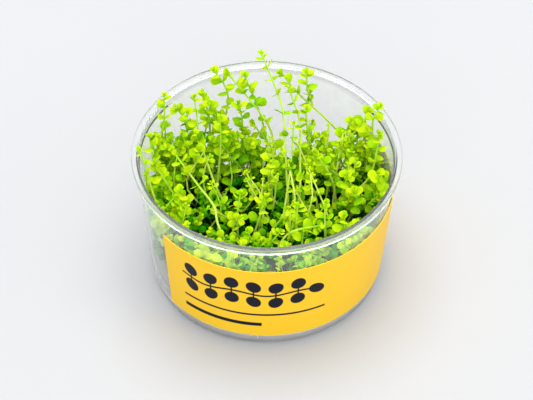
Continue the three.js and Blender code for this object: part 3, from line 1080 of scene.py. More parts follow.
@dataclass(frozen=True)
class Label:
    """The printed sheet bent round the front of the wall."""

    bottom: float = 5.8 * MM
    top: float = 43.6 * MM
    gap: float = 0.3 * MM
    thickness: float = 0.3 * MM
    start: float = -52.0                # degrees round from the front, towards +X
    end: float = 128.0
    slack: float = 0.01                 # radians, for a point that lies right on the label's start
    turned_in: float = -0.5             # a face counts as the back when it faces in more than this
    steps: int = 96

    def build(self, cup: Cup, finish: PrintedPaper, back_finish: PaperBack) -> bpy.types.Object:
        """Builds the label, with its attribute print_place.

        Args:
            cup: The cup that it is stuck to.
            finish: The finish of its printed side and its edges.
            back_finish: The finish of the side that faces the cup.

        Returns:
            The piece.
        """
        start = math.radians(self.start)
        back = self.gap
        front = self.gap + self.thickness
        maker = spun([
            (cup.outer(self.bottom) + back, self.bottom),
            (cup.outer(self.bottom) + front, self.bottom),
            (cup.outer(self.top) + front, self.top),
            (cup.outer(self.top) + back, self.top),
        ], self.steps, math.radians(self.end - self.start), start)
        place = maker.verts.layers.float_vector.new("print_place")
        radius = cup.outer((self.bottom + self.top) / 2)
        for vert in maker.verts:
            angle = math.atan2(vert.co.x, -vert.co.y)
            if angle < start - self.slack:
                angle += TURN
            across = (angle - start) * radius
            vert[place] = Vector((across / MM, vert.co.z / MM, 0.0))
        for face in maker.faces:
            middle = face.calc_center_median()
            outward = Vector((middle.x, middle.y, 0.0)).normalized()
            face.material_index = int(face.normal.dot(outward) < self.turned_in)
        materials = [finish.material(), back_finish.material()]
        return finished("paper_label", maker, materials, ["label"])


@dataclass(frozen=True)
class Gel:
    """The nutrient gel on the cup's floor, which creeps a little way up the wall."""

    top: float = 9.0 * MM
    gap: float = 0.3 * MM
    creep: float = 0.7 * MM
    steps: int = 96

    def build(self, cup: Cup, finish: ClearGel) -> bpy.types.Object:
        """Builds the gel.

        Args:
            cup: The cup that it lies in.
            finish: Its finish.

        Returns:
            The piece.
        """
        bottom = cup.floor_top + self.gap
        shoulder = bottom + cup.floor_corner
        edge = cup.inner(self.top) - self.gap
        maker = spun([
            (0.0, bottom),
            (cup.inner(bottom) - cup.floor_corner - self.gap, bottom),
            (cup.inner(shoulder) - self.gap, shoulder),
            (edge, self.top + self.creep / 2),
            (edge - self.creep, self.top - self.creep / 4),
            (edge - 4 * self.creep, self.top - self.creep / 2),
            (0.0, self.top - self.creep / 2),
        ], self.steps)
        return finished("gel_disc", maker, [finish.material()], ["culture_gel"])


# ------------------------------------------------------------------------------------- the plant


@dataclass(frozen=True)
class Clump:
    """A patch of thicker growth. Its sizes are in millimetres."""

    x: float
    y: float
    spread: float
    rise: float                         # how far the low growth swells there
    top: float                          # how high its young sprigs reach
    sprigs: int
    leaf_share: float = 1.0             # the size of their leaves beside the usual one

    def nearness(self, x: float, y: float) -> float:
        """How near a place is to the clump's middle.

        Args:
            x: The place along X, in metres.
            y: The place along Y, in metres.

        Returns:
            How near it is, from 1 in the middle down to 0 far away.
        """
        away = math.hypot(x - self.x * MM, y - self.y * MM) / (self.spread * MM)
        return math.exp(-away * away / 2)

    def swell(self, x: float, y: float) -> float:
        """How far the low growth's top rises at a place, in metres."""
        return self.rise * MM * self.nearness(x, y)


CLUMPS = (
    # round the wall and across the middle
    Clump(-30, 20, 9, 8, 47, 24),
    Clump(-35, 2, 8, 5, 45, 13),
    Clump(33, 17, 8, 8, 46, 20),
    Clump(37, -6, 7, 4, 45, 9),
    Clump(18, 24, 7, 5, 38, 5),
    Clump(20, -22, 10, 3, 43, 12),
    Clump(-30, -16, 9, 3, 43, 12),
    Clump(-16, 26, 6, 0, 43, 9),
    Clump(2, 22, 8, 0, 38, 8),
    Clump(20, 3, 8, 0, 38, 6),
    Clump(-2, -27, 9, 0, 43, 8),
    Clump(-12, 2, 8, 0, 36, 4),
    # large leaves pressed to the front wall, over the label
    Clump(-38, -20, 6, 0, 42, 8, 1.3),
    Clump(-22, -36, 6, 0, 42, 8, 1.3),
    Clump(-4, -40, 7, 0, 43, 9, 1.3),
    Clump(15, -38, 7, 0, 43, 9, 1.3),
    Clump(32, -28, 6, 0, 43, 7, 1.3),
)


@dataclass(frozen=True)
class CarpetForm:
    """The shape of the low growth's top, and where its plantlets may stand."""

    gel_top: float
    height: float = 29.0 * MM           # over the middle of the cup
    rise: float = 0.3                   # it stands higher towards the front by this much
    droop: float = 2.2                  # and falls away behind with the square of the distance
    wall_gap: float = 1.4 * MM

    def top(self, x: float, y: float) -> float:
        """How high the carpet's top is.

        Args:
            x: The place along X, in metres.
            y: The place along Y, in metres.

        Returns:
            Its height.
        """
        even = self.height - self.rise * y - self.droop * max(y, 0.0) ** 2
        return even + max(clump.swell(x, y) for clump in CLUMPS)

    def inside(self, cup: Cup, point: Vector) -> Vector:
        """Moves a point clear of the cup's wall.

        Args:
            cup: The cup.
            point: The point, which is changed.

        Returns:
            The point.
        """
        room = cup.inner(min(point.z, cup.height)) - self.wall_gap
        if point.xy.length > room:
            point.xy = point.xy.normalized() * room
        return point


class Habit:
    """How leaves sit on stems: in opposite pairs that turn a quarter from one pair to the next."""

    LIFT = math.radians(28)             # how far a full-grown leaf leans towards the stem's tip
    BUD_LIFTS = (math.radians(62), math.radians(42))
    BUD_SIZES = (0.5, 0.72)
    BUD_STEP = 0.22                     # from the upper bud leaves to the lower, as a share of size
    QUARTER = math.pi / 2
    FORMS = (Form.DOMED, Form.DOMED, Form.FLAT, Form.CUPPED, Form.HANGING)
    TURN_SPREAD = 0.25
    LIFT_SPREAD = 0.3
    SIZES = (0.82, 1.12)
    TONES = (-0.16, 0.12)
    REACH = 1.25                        # how far a leaf reaches, as a share of its blade
    UPRIGHT = 1e-4                      # a stem that leans less than this has no side of its own
    WALL_GAP = 0.5 * MM
    RIM_OVERLAP = 1.0 * MM              # a leaf that starts so far under the rim may pass over it
    BEND_BACK = 1.2                     # how strongly a leaf turns away from the wall
    LIGHT_X = (-0.4, 0.4)               # how leaves turn to the light, beside the stem's own way
    LIGHT_Y = (-0.6, 0.2)
    LIGHT_Z = 0.5

    def __init__(self, growth: Growth, cup: Cup, chance: random.Random) -> None:
        """Keeps what leaves are added to.

        Args:
            growth: The growth that the leaves are added to.
            cup: The cup, whose wall no leaf crosses.
            chance: The source of small differences.
        """
        self.growth = growth
        self.cup = cup
        self.chance = chance

    def fits(self, foot: Vector, along: Vector, length: float) -> bool:
        """Whether a leaf stays inside the cup's wall, or over its rim.

        Args:
            foot: Where its stalk starts.
            along: The way that it points.
            length: The length of its blade.

        Returns:
            Whether it does.
        """
        cup = self.cup
        tip = foot + along * length * self.REACH
        if tip.z > cup.height + self.WALL_GAP and foot.z > cup.height - self.RIM_OVERLAP:
            return tip.xy.length < cup.rim_radius
        return max(tip.xy.length, foot.xy.length) < cup.inner(min(tip.z, foot.z)) - self.WALL_GAP

    def pair(self, point: Vector, tangent: Vector, turn: float, length: float, tone: float,
             lift: float) -> None:
        """Adds two opposite leaves.

        Args:
            point: The middle of the stem where they grow.
            tangent: The way that the stem grows.
            turn: The first leaf's turn round the stem.
            length: The blades' length.
            tone: How young they look.
            lift: How far they lean towards the stem's tip.
        """
        chance = self.chance
        side = Vector((-tangent.y, tangent.x, 0.0))
        side = side.normalized() if side.length > self.UPRIGHT else Vector((1.0, 0.0, 0.0))
        front = tangent.cross(side)
        outward = Vector((point.x, point.y, 0.0)).normalized()
        for half in (0.0, math.pi):
            angle = turn + half + chance.uniform(-self.TURN_SPREAD, self.TURN_SPREAD)
            rise = lift + chance.uniform(-self.LIFT_SPREAD, self.LIFT_SPREAD)
            out = side * math.cos(angle) + front * math.sin(angle)
            along = out * math.cos(rise) + tangent * math.sin(rise)
            light_x = chance.uniform(*self.LIGHT_X)
            light_y = chance.uniform(*self.LIGHT_Y)
            facing = tangent + Vector((light_x, light_y, self.LIGHT_Z))
            size = length * chance.uniform(*self.SIZES)
            shade = min(1.0, max(0.0, tone + chance.uniform(*self.TONES)))
            form = chance.choice(self.FORMS)
            if not self.fits(point, along, size):
                inward = outward * max(0.0, along.dot(outward)) * self.BEND_BACK
                along = (along - inward).normalized()
            if self.fits(point, along, size):
                self.growth.add_leaf(form, point, along, facing, size, shade)

    def bud(self, point: Vector, tangent: Vector, turn: float, length: float, tone: float) -> None:
        """Adds the small folded leaves at a stem's tip.

        Args:
            point: The tip.
            tangent: The way that the stem grows.
            turn: The first leaf's turn round the stem.
            length: The length that a full-grown blade there would have.
            tone: How young they look.
        """
        upper_size, lower_size = self.BUD_SIZES
        upper_lift, lower_lift = self.BUD_LIFTS
        self.pair(point, tangent, turn, length * upper_size, tone, upper_lift)
        lower = point - tangent * length * self.BUD_STEP
        self.pair(lower, tangent, turn + self.QUARTER, length * lower_size, tone, lower_lift)


@dataclass(frozen=True)
class Shoot:
    """One long shoot. Its places and sizes are in millimetres, and its turn in degrees.

    Its root is a place on the carpet, or a full place where it forks from another shoot.
    """

    name: str
    root: tuple[float, ...]
    path: tuple[tuple[float, float, float], ...]
    pairs: int
    leaf: float
    turn: float

    ROOT_DEPTH = 3.0
    RADIUS = 0.48 * MM
    TIP_RADIUS = 0.3 * MM
    STEP = 2.2 * MM
    LEAST_POINTS = 8
    LEAF_SHARE = 0.7                    # the leaves' size beside those of the CAD shoots
    DISTANCES = (2.3, 6.2, 11.0, 17.0, 24.5, 33.0, 41.0)    # from the tip to each pair
    EXTRA_PAIRS = 2                     # pairs that the CAD shoots leave out
    BARE_FOOT = 5.0 * MM
    BUD_SIZE = 0.85
    BUD_SINK = 0.3 * MM
    BUD_TONE = 0.9
    LEAF_TONE = 0.93
    TONE_STEP = 0.045                   # tone that each pair loses beside the one above
    STEM_TONES = (1.0, 0.5)
    FIRST_SIZE = 0.85                   # the upper pair's size beside a full-grown one
    SIZE_STEP = 0.15
    DETAIL = (12, 6, 8)                 # sides and rings of a leaf, and sides of a stem

    def points(self, carpet: CarpetForm) -> list[Vector]:
        """The points that the stem passes.

        Args:
            carpet: The low growth that it rises from.

        Returns:
            The points, from its root to its tip.
        """
        x, y = self.root[0] * MM, self.root[1] * MM
        z = self.root[2] * MM if len(self.root) > 2 else carpet.top(x, y) - self.ROOT_DEPTH * MM
        return [Vector((x, y, z))] + [Vector(point) * MM for point in self.path]

    def build(self, carpet: CarpetForm, cup: Cup, materials: Sequence[bpy.types.Material]
              ) -> bpy.types.Object:
        """Builds the shoot.

        Args:
            carpet: The low growth that it rises from.
            cup: The cup round it.
            materials: The leaf's and the stem's materials.

        Returns:
            The piece.
        """
        chance = random.Random(self.name)
        growth = Growth(*self.DETAIL)
        habit = Habit(growth, cup, chance)
        points = self.points(carpet)
        count = max(self.LEAST_POINTS, round(path_length(points) / self.STEP))
        path = smooth_path(points, count)
        growth.add_stem(path, self.RADIUS, self.TIP_RADIUS, self.STEM_TONES)
        length = path_length(path)
        turn = math.radians(self.turn)
        tip_way = (path[-1] - path[-2]).normalized()
        leaf = self.leaf * self.LEAF_SHARE * MM
        bud = path[-1] - tip_way * self.BUD_SINK
        habit.bud(bud, tip_way, turn + Habit.QUARTER, leaf * self.BUD_SIZE, self.BUD_TONE)
        for number, distance in enumerate(self.DISTANCES[:self.pairs + self.EXTRA_PAIRS]):
            if distance * MM > length - self.BARE_FOOT:
                break
            point, way = place_on(path, 1 - distance * MM / length)
            size = leaf * min(1.0, self.FIRST_SIZE + self.SIZE_STEP * number)
            tone = self.LEAF_TONE - self.TONE_STEP * number
            habit.pair(point, way, turn + Habit.QUARTER * number, size, tone, Habit.LIFT)
        growth.free_shapes()
        node = f"shoot_{self.name}"
        return finished(self.name, growth.maker, materials, [node], GROWN_CREASE)


@dataclass(frozen=True)
class LeafyStem:
    """How a thin carpet stem bears its leaves, with painted shade: darker the deeper they stand."""

    steps: int = 8
    radius: float = 0.4 * MM
    taper: float = 0.7
    bare_foot: float = 0.08             # share of the stem that has no leaves
    bud_size: float = 0.7
    bud_tones: Range = (-0.04, 0.1)     # a bud's tone beside that of its stem's leaves
    most_bud_tone: float = 0.95
    first_size: float = 0.72            # the upper pair's size beside a full-grown one
    size_step: float = 0.13
    most_size: float = 1.1
    lifts: Range = (5.0, 38.0)          # degrees that leaves lean towards the stem's tip
    # painted shade: leaves deeper under the carpet's top get a lower tone
    depth_shade: float = 140.0            # tone that a leaf loses for each metre of depth
    tone_step: float = 0.05             # tone that each pair loses beside the one above
    wall_shade: float = 0.6 * MM        # depth that stands for the shade next to the clear wall

    def grow(self, habit: Habit, form: CarpetForm, points: Sequence[Vector],
             spacing: Sequence[float], size: float, bright: float, tones: Range) -> None:
        """Adds one stem with its leaves.

        Args:
            habit: What the leaves are added by.
            form: The carpet's form.
            points: The points that the stem passes, from its foot to its tip.
            spacing: The distances from its tip to its pairs of leaves, in millimetres.
            size: The length of its full-grown leaves.
            bright: The tone of its leaves where they stand in full light.
            tones: The stem's tone at its foot and at its tip.
        """
        cup = habit.cup
        chance = habit.chance
        path = smooth_path([form.inside(cup, point) for point in points], self.steps)
        habit.growth.add_stem(path, self.radius, self.radius * self.taper, tones)
        length = path_length(path)
        turn = chance.uniform(0, TURN)
        way = (path[-1] - path[-2]).normalized()
        bud_tone = min(self.most_bud_tone, bright + chance.uniform(*self.bud_tones))
        habit.bud(path[-1], way, turn, size * self.bud_size, bud_tone)
        for number, distance in enumerate(spacing):
            share = 1 - distance * MM / length
            if share < self.bare_foot:
                break
            point, way = place_on(path, share)
            # painted shade: the tone falls with depth under the carpet's top, but less next to the
            # clear wall
            from_wall = cup.inner(point.z) - point.xy.length + self.wall_shade
            depth = max(0.0, min(form.top(point.x, point.y) - point.z, from_wall))
            tone = max(0.0, bright - self.depth_shade * depth - self.tone_step * number)
            grown = size * min(self.most_size, self.first_size + self.size_step * number)
            lift = math.radians(chance.uniform(*self.lifts))
            habit.pair(point, way, turn + Habit.QUARTER * (number + 1), grown, tone, lift)


@dataclass(frozen=True)
class Roots:
    """Thin pale roots that run down into the gel. What chance varies is in millimetres."""

    radius: float = 0.16 * MM
    tip_radius: float = 0.1 * MM
    reach: Range = (1.6, 1.6)
    depth: Range = (2.0, 4.6)
    bow: float = 0.4

    def grow(self, habit: Habit, foot: Vector) -> None:
        """Adds one root.

        Args:
            habit: Whose growth it is added to.
            foot: The foot of the plantlet that it grows from.
        """
        reach = astray(habit.chance, self.reach) * MM
        end = foot + reach + Vector((0.0, 0.0, -habit.chance.uniform(*self.depth) * MM))
        bow = Vector((reach.y, -reach.x, 0.0)) * self.bow
        path = [foot, foot.lerp(end, 0.5) + bow, end]
        habit.growth.add_stem(path, self.radius, self.tip_radius, (1.0, 1.0))


@dataclass(frozen=True)
class Plantlets:
    """The low plantlets, which stand in the gel. What chance varies is in millimetres."""

    count: int = 330
    leaf: Range = (3.2 * MM, 4.9 * MM)
    spacing: tuple[float, ...] = (2.2, 5.6, 9.6, 14.2, 19.2, 24.6, 30.5)
    foot_scatter: float = 0.5
    foot_depth: float = 0.8 * MM        # how far a plantlet's foot stands in the gel
    foot_gap: float = 0.3 * MM          # how much further than a tip it stays from the wall
    fan_height: float = 30.0 * MM       # they fan out as much as the wall does up to here
    tip_scatter: float = 3.6
    tip_drift: float = 0.8              # how far their tips lean to the back on the whole
    tip_rise: float = 0.6
    tip_drop: float = 3.0
    swell_scale: float = 75.0
    swell_height: float = 4.0
    least_height: float = 3.0 * MM
    bend: Range = (2.4, 2.4)
    bend_rise: float = 1.5
    tone: float = 0.5
    clump_tone: float = 0.28            # tone that a clump's middle adds
    tone_scatter: float = 0.14
    wall_share: float = 0.86            # feet that are further out count as by the wall
    wall_tones: Range = (0.85, 0.6)
    # the inner plantlets' stems darken to the shaded green at their feet: painted shade deep in the
    # carpet
    inner_shaded_tones: Range = (0.0, 0.5)
    golden: float = math.pi * (3 - math.sqrt(5))
    roots: Roots = Roots()

    def place(self, number: int, form: CarpetForm, cup: Cup,
              chance: random.Random) -> tuple[float, float]:
        """Where a plantlet stands, on an even spiral that chance unsettles a little.

        Args:
            number: The plantlet's number.
            form: The carpet's form.
            cup: The cup round it.
            chance: The source of small differences.

        Returns:
            The place of its foot along X and Y.
        """
        reach = cup.inner(form.gel_top) - form.wall_gap - self.foot_gap
        radius = reach * math.sqrt((number + 0.5) / self.count)
        angle = number * self.golden
        x = radius * math.sin(angle) + chance.gauss(0.0, self.foot_scatter) * MM
        y = -radius * math.cos(angle) + chance.gauss(0.0, self.foot_scatter) * MM
        return x, y

    def grow(self, habit: Habit, form: CarpetForm, stem: LeafyStem, number: int) -> None:
        """Adds one low plantlet and its root.

        Args:
            habit: What its leaves are added by.
            form: The carpet's form.
            stem: How its stem bears leaves.
            number: The plantlet's number.
        """
        chance = habit.chance
        cup = habit.cup
        gel = form.gel_top
        x, y = self.place(number, form, cup, chance)
        spread = cup.inner(self.fan_height) / cup.inner(gel)
        tip = Vector((x * spread + chance.gauss(0.0, self.tip_scatter) * MM,
                      y * spread + chance.gauss(self.tip_drift, self.tip_scatter) * MM, 0.0))
        swell = noise.noise(Vector((tip.x, tip.y, 0.0)) * self.swell_scale) * self.swell_height
        height = swell + self.tip_rise - abs(chance.gauss(0.0, self.tip_drop))
        tip.z = max(form.top(tip.x, tip.y) + height * MM, gel + self.least_height)
        foot = Vector((x, y, gel - self.foot_depth))
        bend = astray(chance, self.bend)
        bend.z = chance.uniform(-self.bend_rise, self.bend_rise)
        size = chance.uniform(*self.leaf)
        points = [foot, foot.lerp(tip, 0.5) + bend * MM, tip]
        light = max(clump.nearness(tip.x, tip.y) for clump in CLUMPS)
        scatter = chance.uniform(-self.tone_scatter, self.tone_scatter)
        bright = self.tone + self.clump_tone * light + scatter
        # stems away from the wall get painted shade at their feet
        by_wall = foot.xy.length > self.wall_share * cup.inner(gel)
        tones = self.wall_tones if by_wall else self.inner_shaded_tones
        stem.grow(habit, form, points, self.spacing, size, bright, tones)
        self.roots.grow(habit, foot)


@dataclass(frozen=True)
class Sprigs:
    """The young sprigs that rise out of the clumps. What chance varies is in millimetres."""

    leaf: Range = (2.7 * MM, 4.0 * MM)
    spacing: tuple[float, ...] = (2.0, 5.2, 9.4, 15.0)
    depth: float = 7.0 * MM             # how deep in the carpet they start
    scatter: float = 0.8                # how far they scatter, beside their clump's spread
    top: Range = (-1.0, 3.5)            # their height over their clump's top, and how it varies
    lean: Range = (0.0, -2.0)
    sway: Range = (5.0, 5.0)
    bend: Range = (2.6, 2.6)
    bright: Range = (0.8, 0.96)
    tones: Range = (0.95, 0.5)

    def grow(self, habit: Habit, form: CarpetForm, stem: LeafyStem, clump: Clump) -> None:
        """Adds one sprig.

        Args:
            habit: What its leaves are added by.
            form: The carpet's form.
            stem: How its stem bears leaves.
            clump: The clump that it belongs to.
        """
        chance = habit.chance
        near = clump.spread * self.scatter
        tip = astray(chance, (near, near), (clump.x, clump.y))
        tip.z = clump.top + chance.gauss(*self.top)
        tip *= MM
        foot = tip - astray(chance, self.sway, self.lean) * MM
        foot.z = form.top(foot.x, foot.y) - self.depth
        bend = astray(chance, self.bend)
        size = chance.uniform(*self.leaf) * clump.leaf_share
        points = [foot, foot.lerp(tip, 0.5) + bend * MM, tip]
        bright = chance.uniform(*self.bright)
        stem.grow(habit, form, points, self.spacing, size, bright, self.tones)


@dataclass(frozen=True)
class Runners:
    """Long thin pale stems with few leaves that lean over the middle of the carpet.

    What chance varies is in millimetres.
    """

    count: int = 24
    leaf: Range = (2.2 * MM, 3.1 * MM)
    spacing: tuple[float, ...] = (3.0, 11.0)
    depth: float = 7.0 * MM             # how deep in the carpet they start
    middle: Range = (4.0, 0.0)
    scatter: Range = (14.0, 12.0)
    top: Range = (42.0, 53.0)
    lean: Range = (-2.0, 6.0)
    sway: Range = (6.0, 7.0)
    bend: Range = (2.4, 2.4)
    bend_rise: float = 2.0
    bend_place: float = 0.55            # share of the stem below its bend
    bright: float = 0.9
    tones: Range = (1.0, 0.9)

    def grow(self, habit: Habit, form: CarpetForm, stem: LeafyStem) -> None:
        """Adds one runner.

        Args:
            habit: What its leaves are added by.
            form: The carpet's form.
            stem: How its stem bears leaves.
        """
        chance = habit.chance
        tip = astray(chance, self.scatter, self.middle)
        tip.z = chance.uniform(*self.top)
        tip *= MM
        foot = tip - astray(chance, self.sway, self.lean) * MM
        foot.z = form.top(foot.x, foot.y) - self.depth
        bend = astray(chance, self.bend)
        bend.z = chance.uniform(0.0, self.bend_rise)
        size = chance.uniform(*self.leaf)
        points = [foot, foot.lerp(tip, self.bend_place) + bend * MM, tip]
        stem.grow(habit, form, points, self.spacing, size, self.bright, self.tones)


@dataclass(frozen=True)
class Carpet:
    """The tangle of low plantlets, young sprigs and runners.

    They are dealt out in turn to a few pieces, because one would be too large.
    """

    form: CarpetForm
    stem: LeafyStem = LeafyStem()
    plantlets: Plantlets = Plantlets()
    sprigs: Sprigs = Sprigs()
    runners: Runners = Runners()
    seed: int = 11
    pieces: int = 4
    detail: tuple[int, int, int] = (8, 4, 5)    # sides and rings of a leaf, and sides of a stem

    def build(self, cup: Cup, materials: Sequence[bpy.types.Material]) -> list[bpy.types.Object]:
        """Builds the carpet.

        Args:
            cup: The cup round it.
            materials: The leaf's and the stem's materials.

        Returns:
            The pieces.
        """
        chance = random.Random(self.seed)
        habits = [Habit(Growth(*self.detail), cup, chance) for _ in range(self.pieces)]
        for number in range(self.plantlets.count):
            self.plantlets.grow(habits[number % self.pieces], self.form, self.stem, number)
        for clump in CLUMPS:
            for number in range(clump.sprigs):
                self.sprigs.grow(habits[number % self.pieces], self.form, self.stem, clump)
        for number in range(self.runners.count):
            self.runners.grow(habits[number % self.pieces], self.form, self.stem)
        built = []
        for number, habit in enumerate(habits, 1):
            habit.growth.free_shapes()
            built.append(finished(f"carpet_growth_{number}", habit.growth.maker, materials,
                                  ["carpet_mat"], GROWN_CREASE))
        return built


SHOOTS = (
    Shoot("back_tallest", (8.5, -3),
          ((7, 11.5, 45), (6.5, 18, 51), (5.5, 24.5, 57), (2, 32, 63), (-2.5, 40, 70)), 4, 4.6, 20),
    Shoot("back_long_right", (28, 30.5),
          ((29, 33, 32), (24.5, 33, 40), (16.5, 35, 48), (10, 37, 54.5), (5, 38.5, 62)), 2, 5, 70),
    Shoot("back_left", (-17, 31),
          ((-17, 34, 33), (-15, 37.5, 50), (-17.5, 39, 57), (-20.5, 40, 61)), 2, 5.4, 15),
    Shoot("back_middle", (3.5, 22.5),
          ((3, 25.5, 33), (1, 28.5, 42), (-7, 32.5, 53.5), (-15.5, 37, 63)), 3, 5.2, 60),
    Shoot("back_upright", (1, 37.5),
          ((-1.5, 38, 34.5), (-5.5, 38, 50), (-9, 38, 61)), 2, 4.8, 0),
    Shoot("back_thin", (11, -6),
          ((12.5, 0, 36), (12.5, 11, 43), (12, 24.5, 51), (9.5, 31.5, 54.5), (8, 35, 57.5)),
          3, 4.2, 40),
    Shoot("back_column", (18.5, 17.5),
          ((17, 21.5, 37), (15, 24.5, 47.5), (14.5, 26.5, 55)), 2, 4.6, 30),
    Shoot("back_centre", (-10, 36),
          ((-9.5, 30.5, 44), (-11, 27.5, 56)), 2, 4.8, 50),
    Shoot("back_low", (20, 30),
          ((22, 27, 34), (19.5, 24, 43)), 2, 5, 10),
    Shoot("left_tall", (-36.5, 16.5),
          ((-39.5, 20, 44.5), (-38.5, 21, 54.5), (-38.5, 22, 65)), 2, 4.4, 35),
    Shoot("left_fork", (-29, 27.5),
          ((-31.5, 29, 46), (-34.5, 28, 53)), 2, 5.2, 80),
    Shoot("left_long", (-15.5, 3),
          ((-19.5, 6, 34.5), (-25.5, 19, 46.5), (-26.5, 24, 53), (-27.5, 28, 59)), 2, 4.6, 25),
    Shoot("left_twin", (-22, 30),
          ((-22, 31.5, 44), (-23.5, 31, 53), (-24.5, 31, 58)), 2, 4.4, 65),
    Shoot("left_tuft", (-18, 27.5),
          ((-18, 30, 42), (-20.5, 29, 50), (-21.5, 27, 56.5)), 2, 4.4, 5),
    Shoot("left_bright", (-31, 23),
          ((-30.5, 24, 35), (-30, 22.5, 56)), 2, 4.8, 45),
    Shoot("left_pair", (-38.5, 6),
          ((-42, 7.5, 42), (-43.5, 8, 57.5)), 2, 5, 85),
    Shoot("left_edge", (-39, -8),
          ((-43, -6, 46), (-45, -4, 55.5), (-47.5, -1.5, 60)), 2, 3.8, 30),
    Shoot("left_arch", (-33.5, -5.5),
          ((-34.5, -4.5, 39), (-38, -3.5, 46.5), (-41.5, -2, 53)), 2, 5, 60),
    Shoot("right_round", (30.5, 23.5),
          ((31.5, 24, 41), (35, 22, 50), (38, 20, 59)), 1, 6, 55),
    Shoot("right_edge", (36, 15.5),
          ((39.5, 16.5, 46), (39.5, 17.5, 57.5), (42, 18, 64)), 2, 5, 10),
    Shoot("right_low", (26, 25.5),
          ((29, 27.5, 38), (32, 27, 48)), 2, 5.6, 40),
    Shoot("right_long", (28, -0.5),
          ((33.5, 2, 35), (38.5, 5, 40), (41, 8.5, 50.5), (41.5, 10.5, 57)), 2, 5.2, 75),
    Shoot("right_outer", (38, 3.5),
          ((40, 0, 39.5), (41.5, -3.5, 50)), 2, 5.4, 20),
    Shoot("right_front", (32, -6.5),
          ((33.5, -8, 40), (32, -9.5, 48)), 2, 5.8, 50),
    Shoot("middle_tall", (6, -11),
          ((9, 8, 43.5), (10, 20, 53)), 2, 4.2, 15),
    Shoot("middle_arch", (31, 8.5),
          ((24, 7, 42), (16.5, 4, 50)), 1, 5.4, 60),
    Shoot("middle_lean", (26.5, 2),
          ((24.5, 2.5, 40.5), (18, 3.5, 54)), 2, 4.8, 35),
    Shoot("middle_curve", (20, -3.5),
          ((17, -4, 43), (12.5, -4, 50)), 1, 5, 80),
    Shoot("middle_bud", (2, 5),
          ((2, 5, 38), (1, 4.5, 50)), 2, 5.6, 0),
    Shoot("middle_double", (-19, 11),
          ((-17.5, 16, 43), (-17.5, 20, 56)), 2, 4.8, 45),
    Shoot("middle_diagonal", (-14, -26.5),
          ((-18, -20.5, 41.5), (-19, -16.5, 45), (-25, -9.5, 49), (-35, 3, 55)), 2, 4.8, 70),
    Shoot("middle_up", (-30, 13.5),
          ((-27.5, 12, 36), (-25.5, 9, 50)), 2, 5.2, 25),
    Shoot("front_left", (-28.5, -13),
          ((-30, -11.5, 41.5), (-31.5, -10.5, 48)), 2, 5.6, 55),
    Shoot("front_lean", (-10.5, -19.5),
          ((-10.5, -16, 42.5), (-9.5, -13, 49)), 2, 5.4, 5),
    Shoot("front_curl", (-4.5, -17.5),
          ((-2, -15.5, 41), (-0.5, -13.5, 48)), 1, 5.2, 40),
    Shoot("front_flat", (3.5, -30),
          ((8.5, -29.5, 45.5), (19.5, -28, 48)), 1, 5.8, 75),
    Shoot("front_tall", (12, -26),
          ((11, -22.5, 43.5), (11.5, -19, 49)), 2, 5.4, 30),
    Shoot("front_cross", (22, -25),
          ((21.5, -23, 44), (21.5, -20.5, 52)), 2, 4.8, 65),
    Shoot("back_fork", (17.3, 36.6, 46.2),
          ((15, 37.2, 56), (14.7, 38, 62.5)), 1, 5.6, 10),
)


# ------------------------------------------------------------------------------------ the studio


@dataclass(frozen=True)
class Softbox:
    """A round soft lamp that points at the cup."""

    name: str
    azimuth: float                      # degrees round from the front, towards +X
    elevation: float
    distance: float
    size: float
    power: float

    def build(self) -> None:
        """Builds the lamp."""
        lamp = bpy.data.lights.new(self.name, "AREA")
        lamp.shape = "DISK"
        lamp.size = self.size
        lamp.energy = self.power
        turn = math.radians(self.azimuth)
        rise = math.radians(self.elevation)
        level = math.cos(rise)
        away = Vector((math.sin(turn) * level, -math.cos(turn) * level, math.sin(rise)))
        softbox = bpy.data.objects.new(self.name, lamp)
        softbox.location = away * self.distance
        softbox.rotation_euler = away.to_track_quat("Z", "Y").to_euler()
        bpy.context.scene.collection.objects.link(softbox)


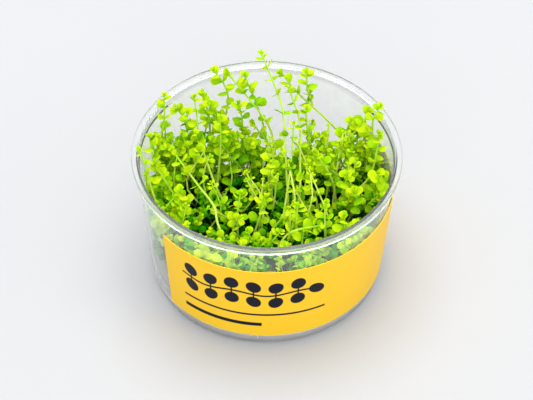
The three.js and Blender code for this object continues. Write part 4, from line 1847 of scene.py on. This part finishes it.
@dataclass(frozen=True)
class Studio:
    """A plain pale floor, soft light from all round and above, and the camera."""

    floor_radius: float = 6.0
    floor_sides: int = 96
    elevation: float = 45.87            # degrees that the camera looks down
    distance: float = 1.0
    target: tuple[float, float, float] = (0.05 * MM, 0.0, 32.1 * MM)
    roll: float = 0.010                 # radians
    lens: float = 180.1                 # of the camera, with its sensor, in millimetres
    sensor: float = 36.0
    nearest: float = 0.05
    sky: Colour = (0.985, 0.99, 1.0)
    sky_strength: float = 0.72
    softboxes: tuple[Softbox, ...] = (
        Softbox("overhead", 180, 81, 2.0, 2.6, 36.0),
        Softbox("in_front", 0, 14, 2.2, 2.2, 16.0),
        Softbox("right_side", 72, 20, 2.0, 1.2, 3.0),
    )

    def floor(self) -> None:
        """Builds the floor."""
        maker = bmesh.new()
        bmesh.ops.create_circle(maker, cap_ends=True, segments=self.floor_sides,
                                radius=self.floor_radius)
        mesh = bpy.data.meshes.new("studio_floor")
        maker.to_mesh(mesh)
        maker.free()
        mesh.materials.append(StudioFloor().material())
        floor = bpy.data.objects.new("studio_floor", mesh)
        bpy.context.scene.collection.objects.link(floor)

    def lights(self) -> None:
        """Builds the sky and the softboxes."""
        world = bpy.data.worlds.new("studio")
        world.use_nodes = True
        background = world.node_tree.nodes["Background"]
        background.inputs["Color"].default_value = (*self.sky, 1.0)
        background.inputs["Strength"].default_value = self.sky_strength
        bpy.context.scene.world = world
        for softbox in self.softboxes:
            softbox.build()

    def camera(self) -> None:
        """Builds the camera."""
        data = bpy.data.cameras.new("camera")
        data.lens = self.lens
        data.sensor_width = self.sensor
        data.clip_start = self.nearest
        camera = bpy.data.objects.new("camera", data)
        rise = math.radians(self.elevation)
        away = Vector((0.0, -math.cos(rise), math.sin(rise)))
        tilt = Matrix.Rotation(math.radians(90) - rise, 4, "X")
        roll = Matrix.Rotation(self.roll, 4, "Z")
        place = Matrix.Translation(Vector(self.target) + away * self.distance)
        camera.matrix_world = place @ tilt @ roll
        bpy.context.scene.collection.objects.link(camera)
        bpy.context.scene.camera = camera

    def build(self) -> None:
        """Builds all of it."""
        self.camera()
        self.lights()
        self.floor()
        bpy.context.scene.view_settings.view_transform = "Standard"
        bpy.context.scene.view_settings.look = "Medium High Contrast"


def main() -> None:
    logging.basicConfig(level=logging.INFO, format="%(name)s: %(message)s")
    Studio().build()
    cup = Cup()
    cup.build(ClearPlastic(), ClearPlastic(name="milky_plastic", clearness=0.7))
    Label().build(cup, PrintedPaper(), PaperBack())
    gel = Gel()
    gel.build(cup, ClearGel())
    tissue = [LeafTissue().material(), StemTissue().material()]
    form = CarpetForm(gel.top)
    Carpet(form).build(cup, tissue)
    for shoot in SHOOTS:
        shoot.build(form, cup, tissue)


if __name__ == "__main__":
    main()
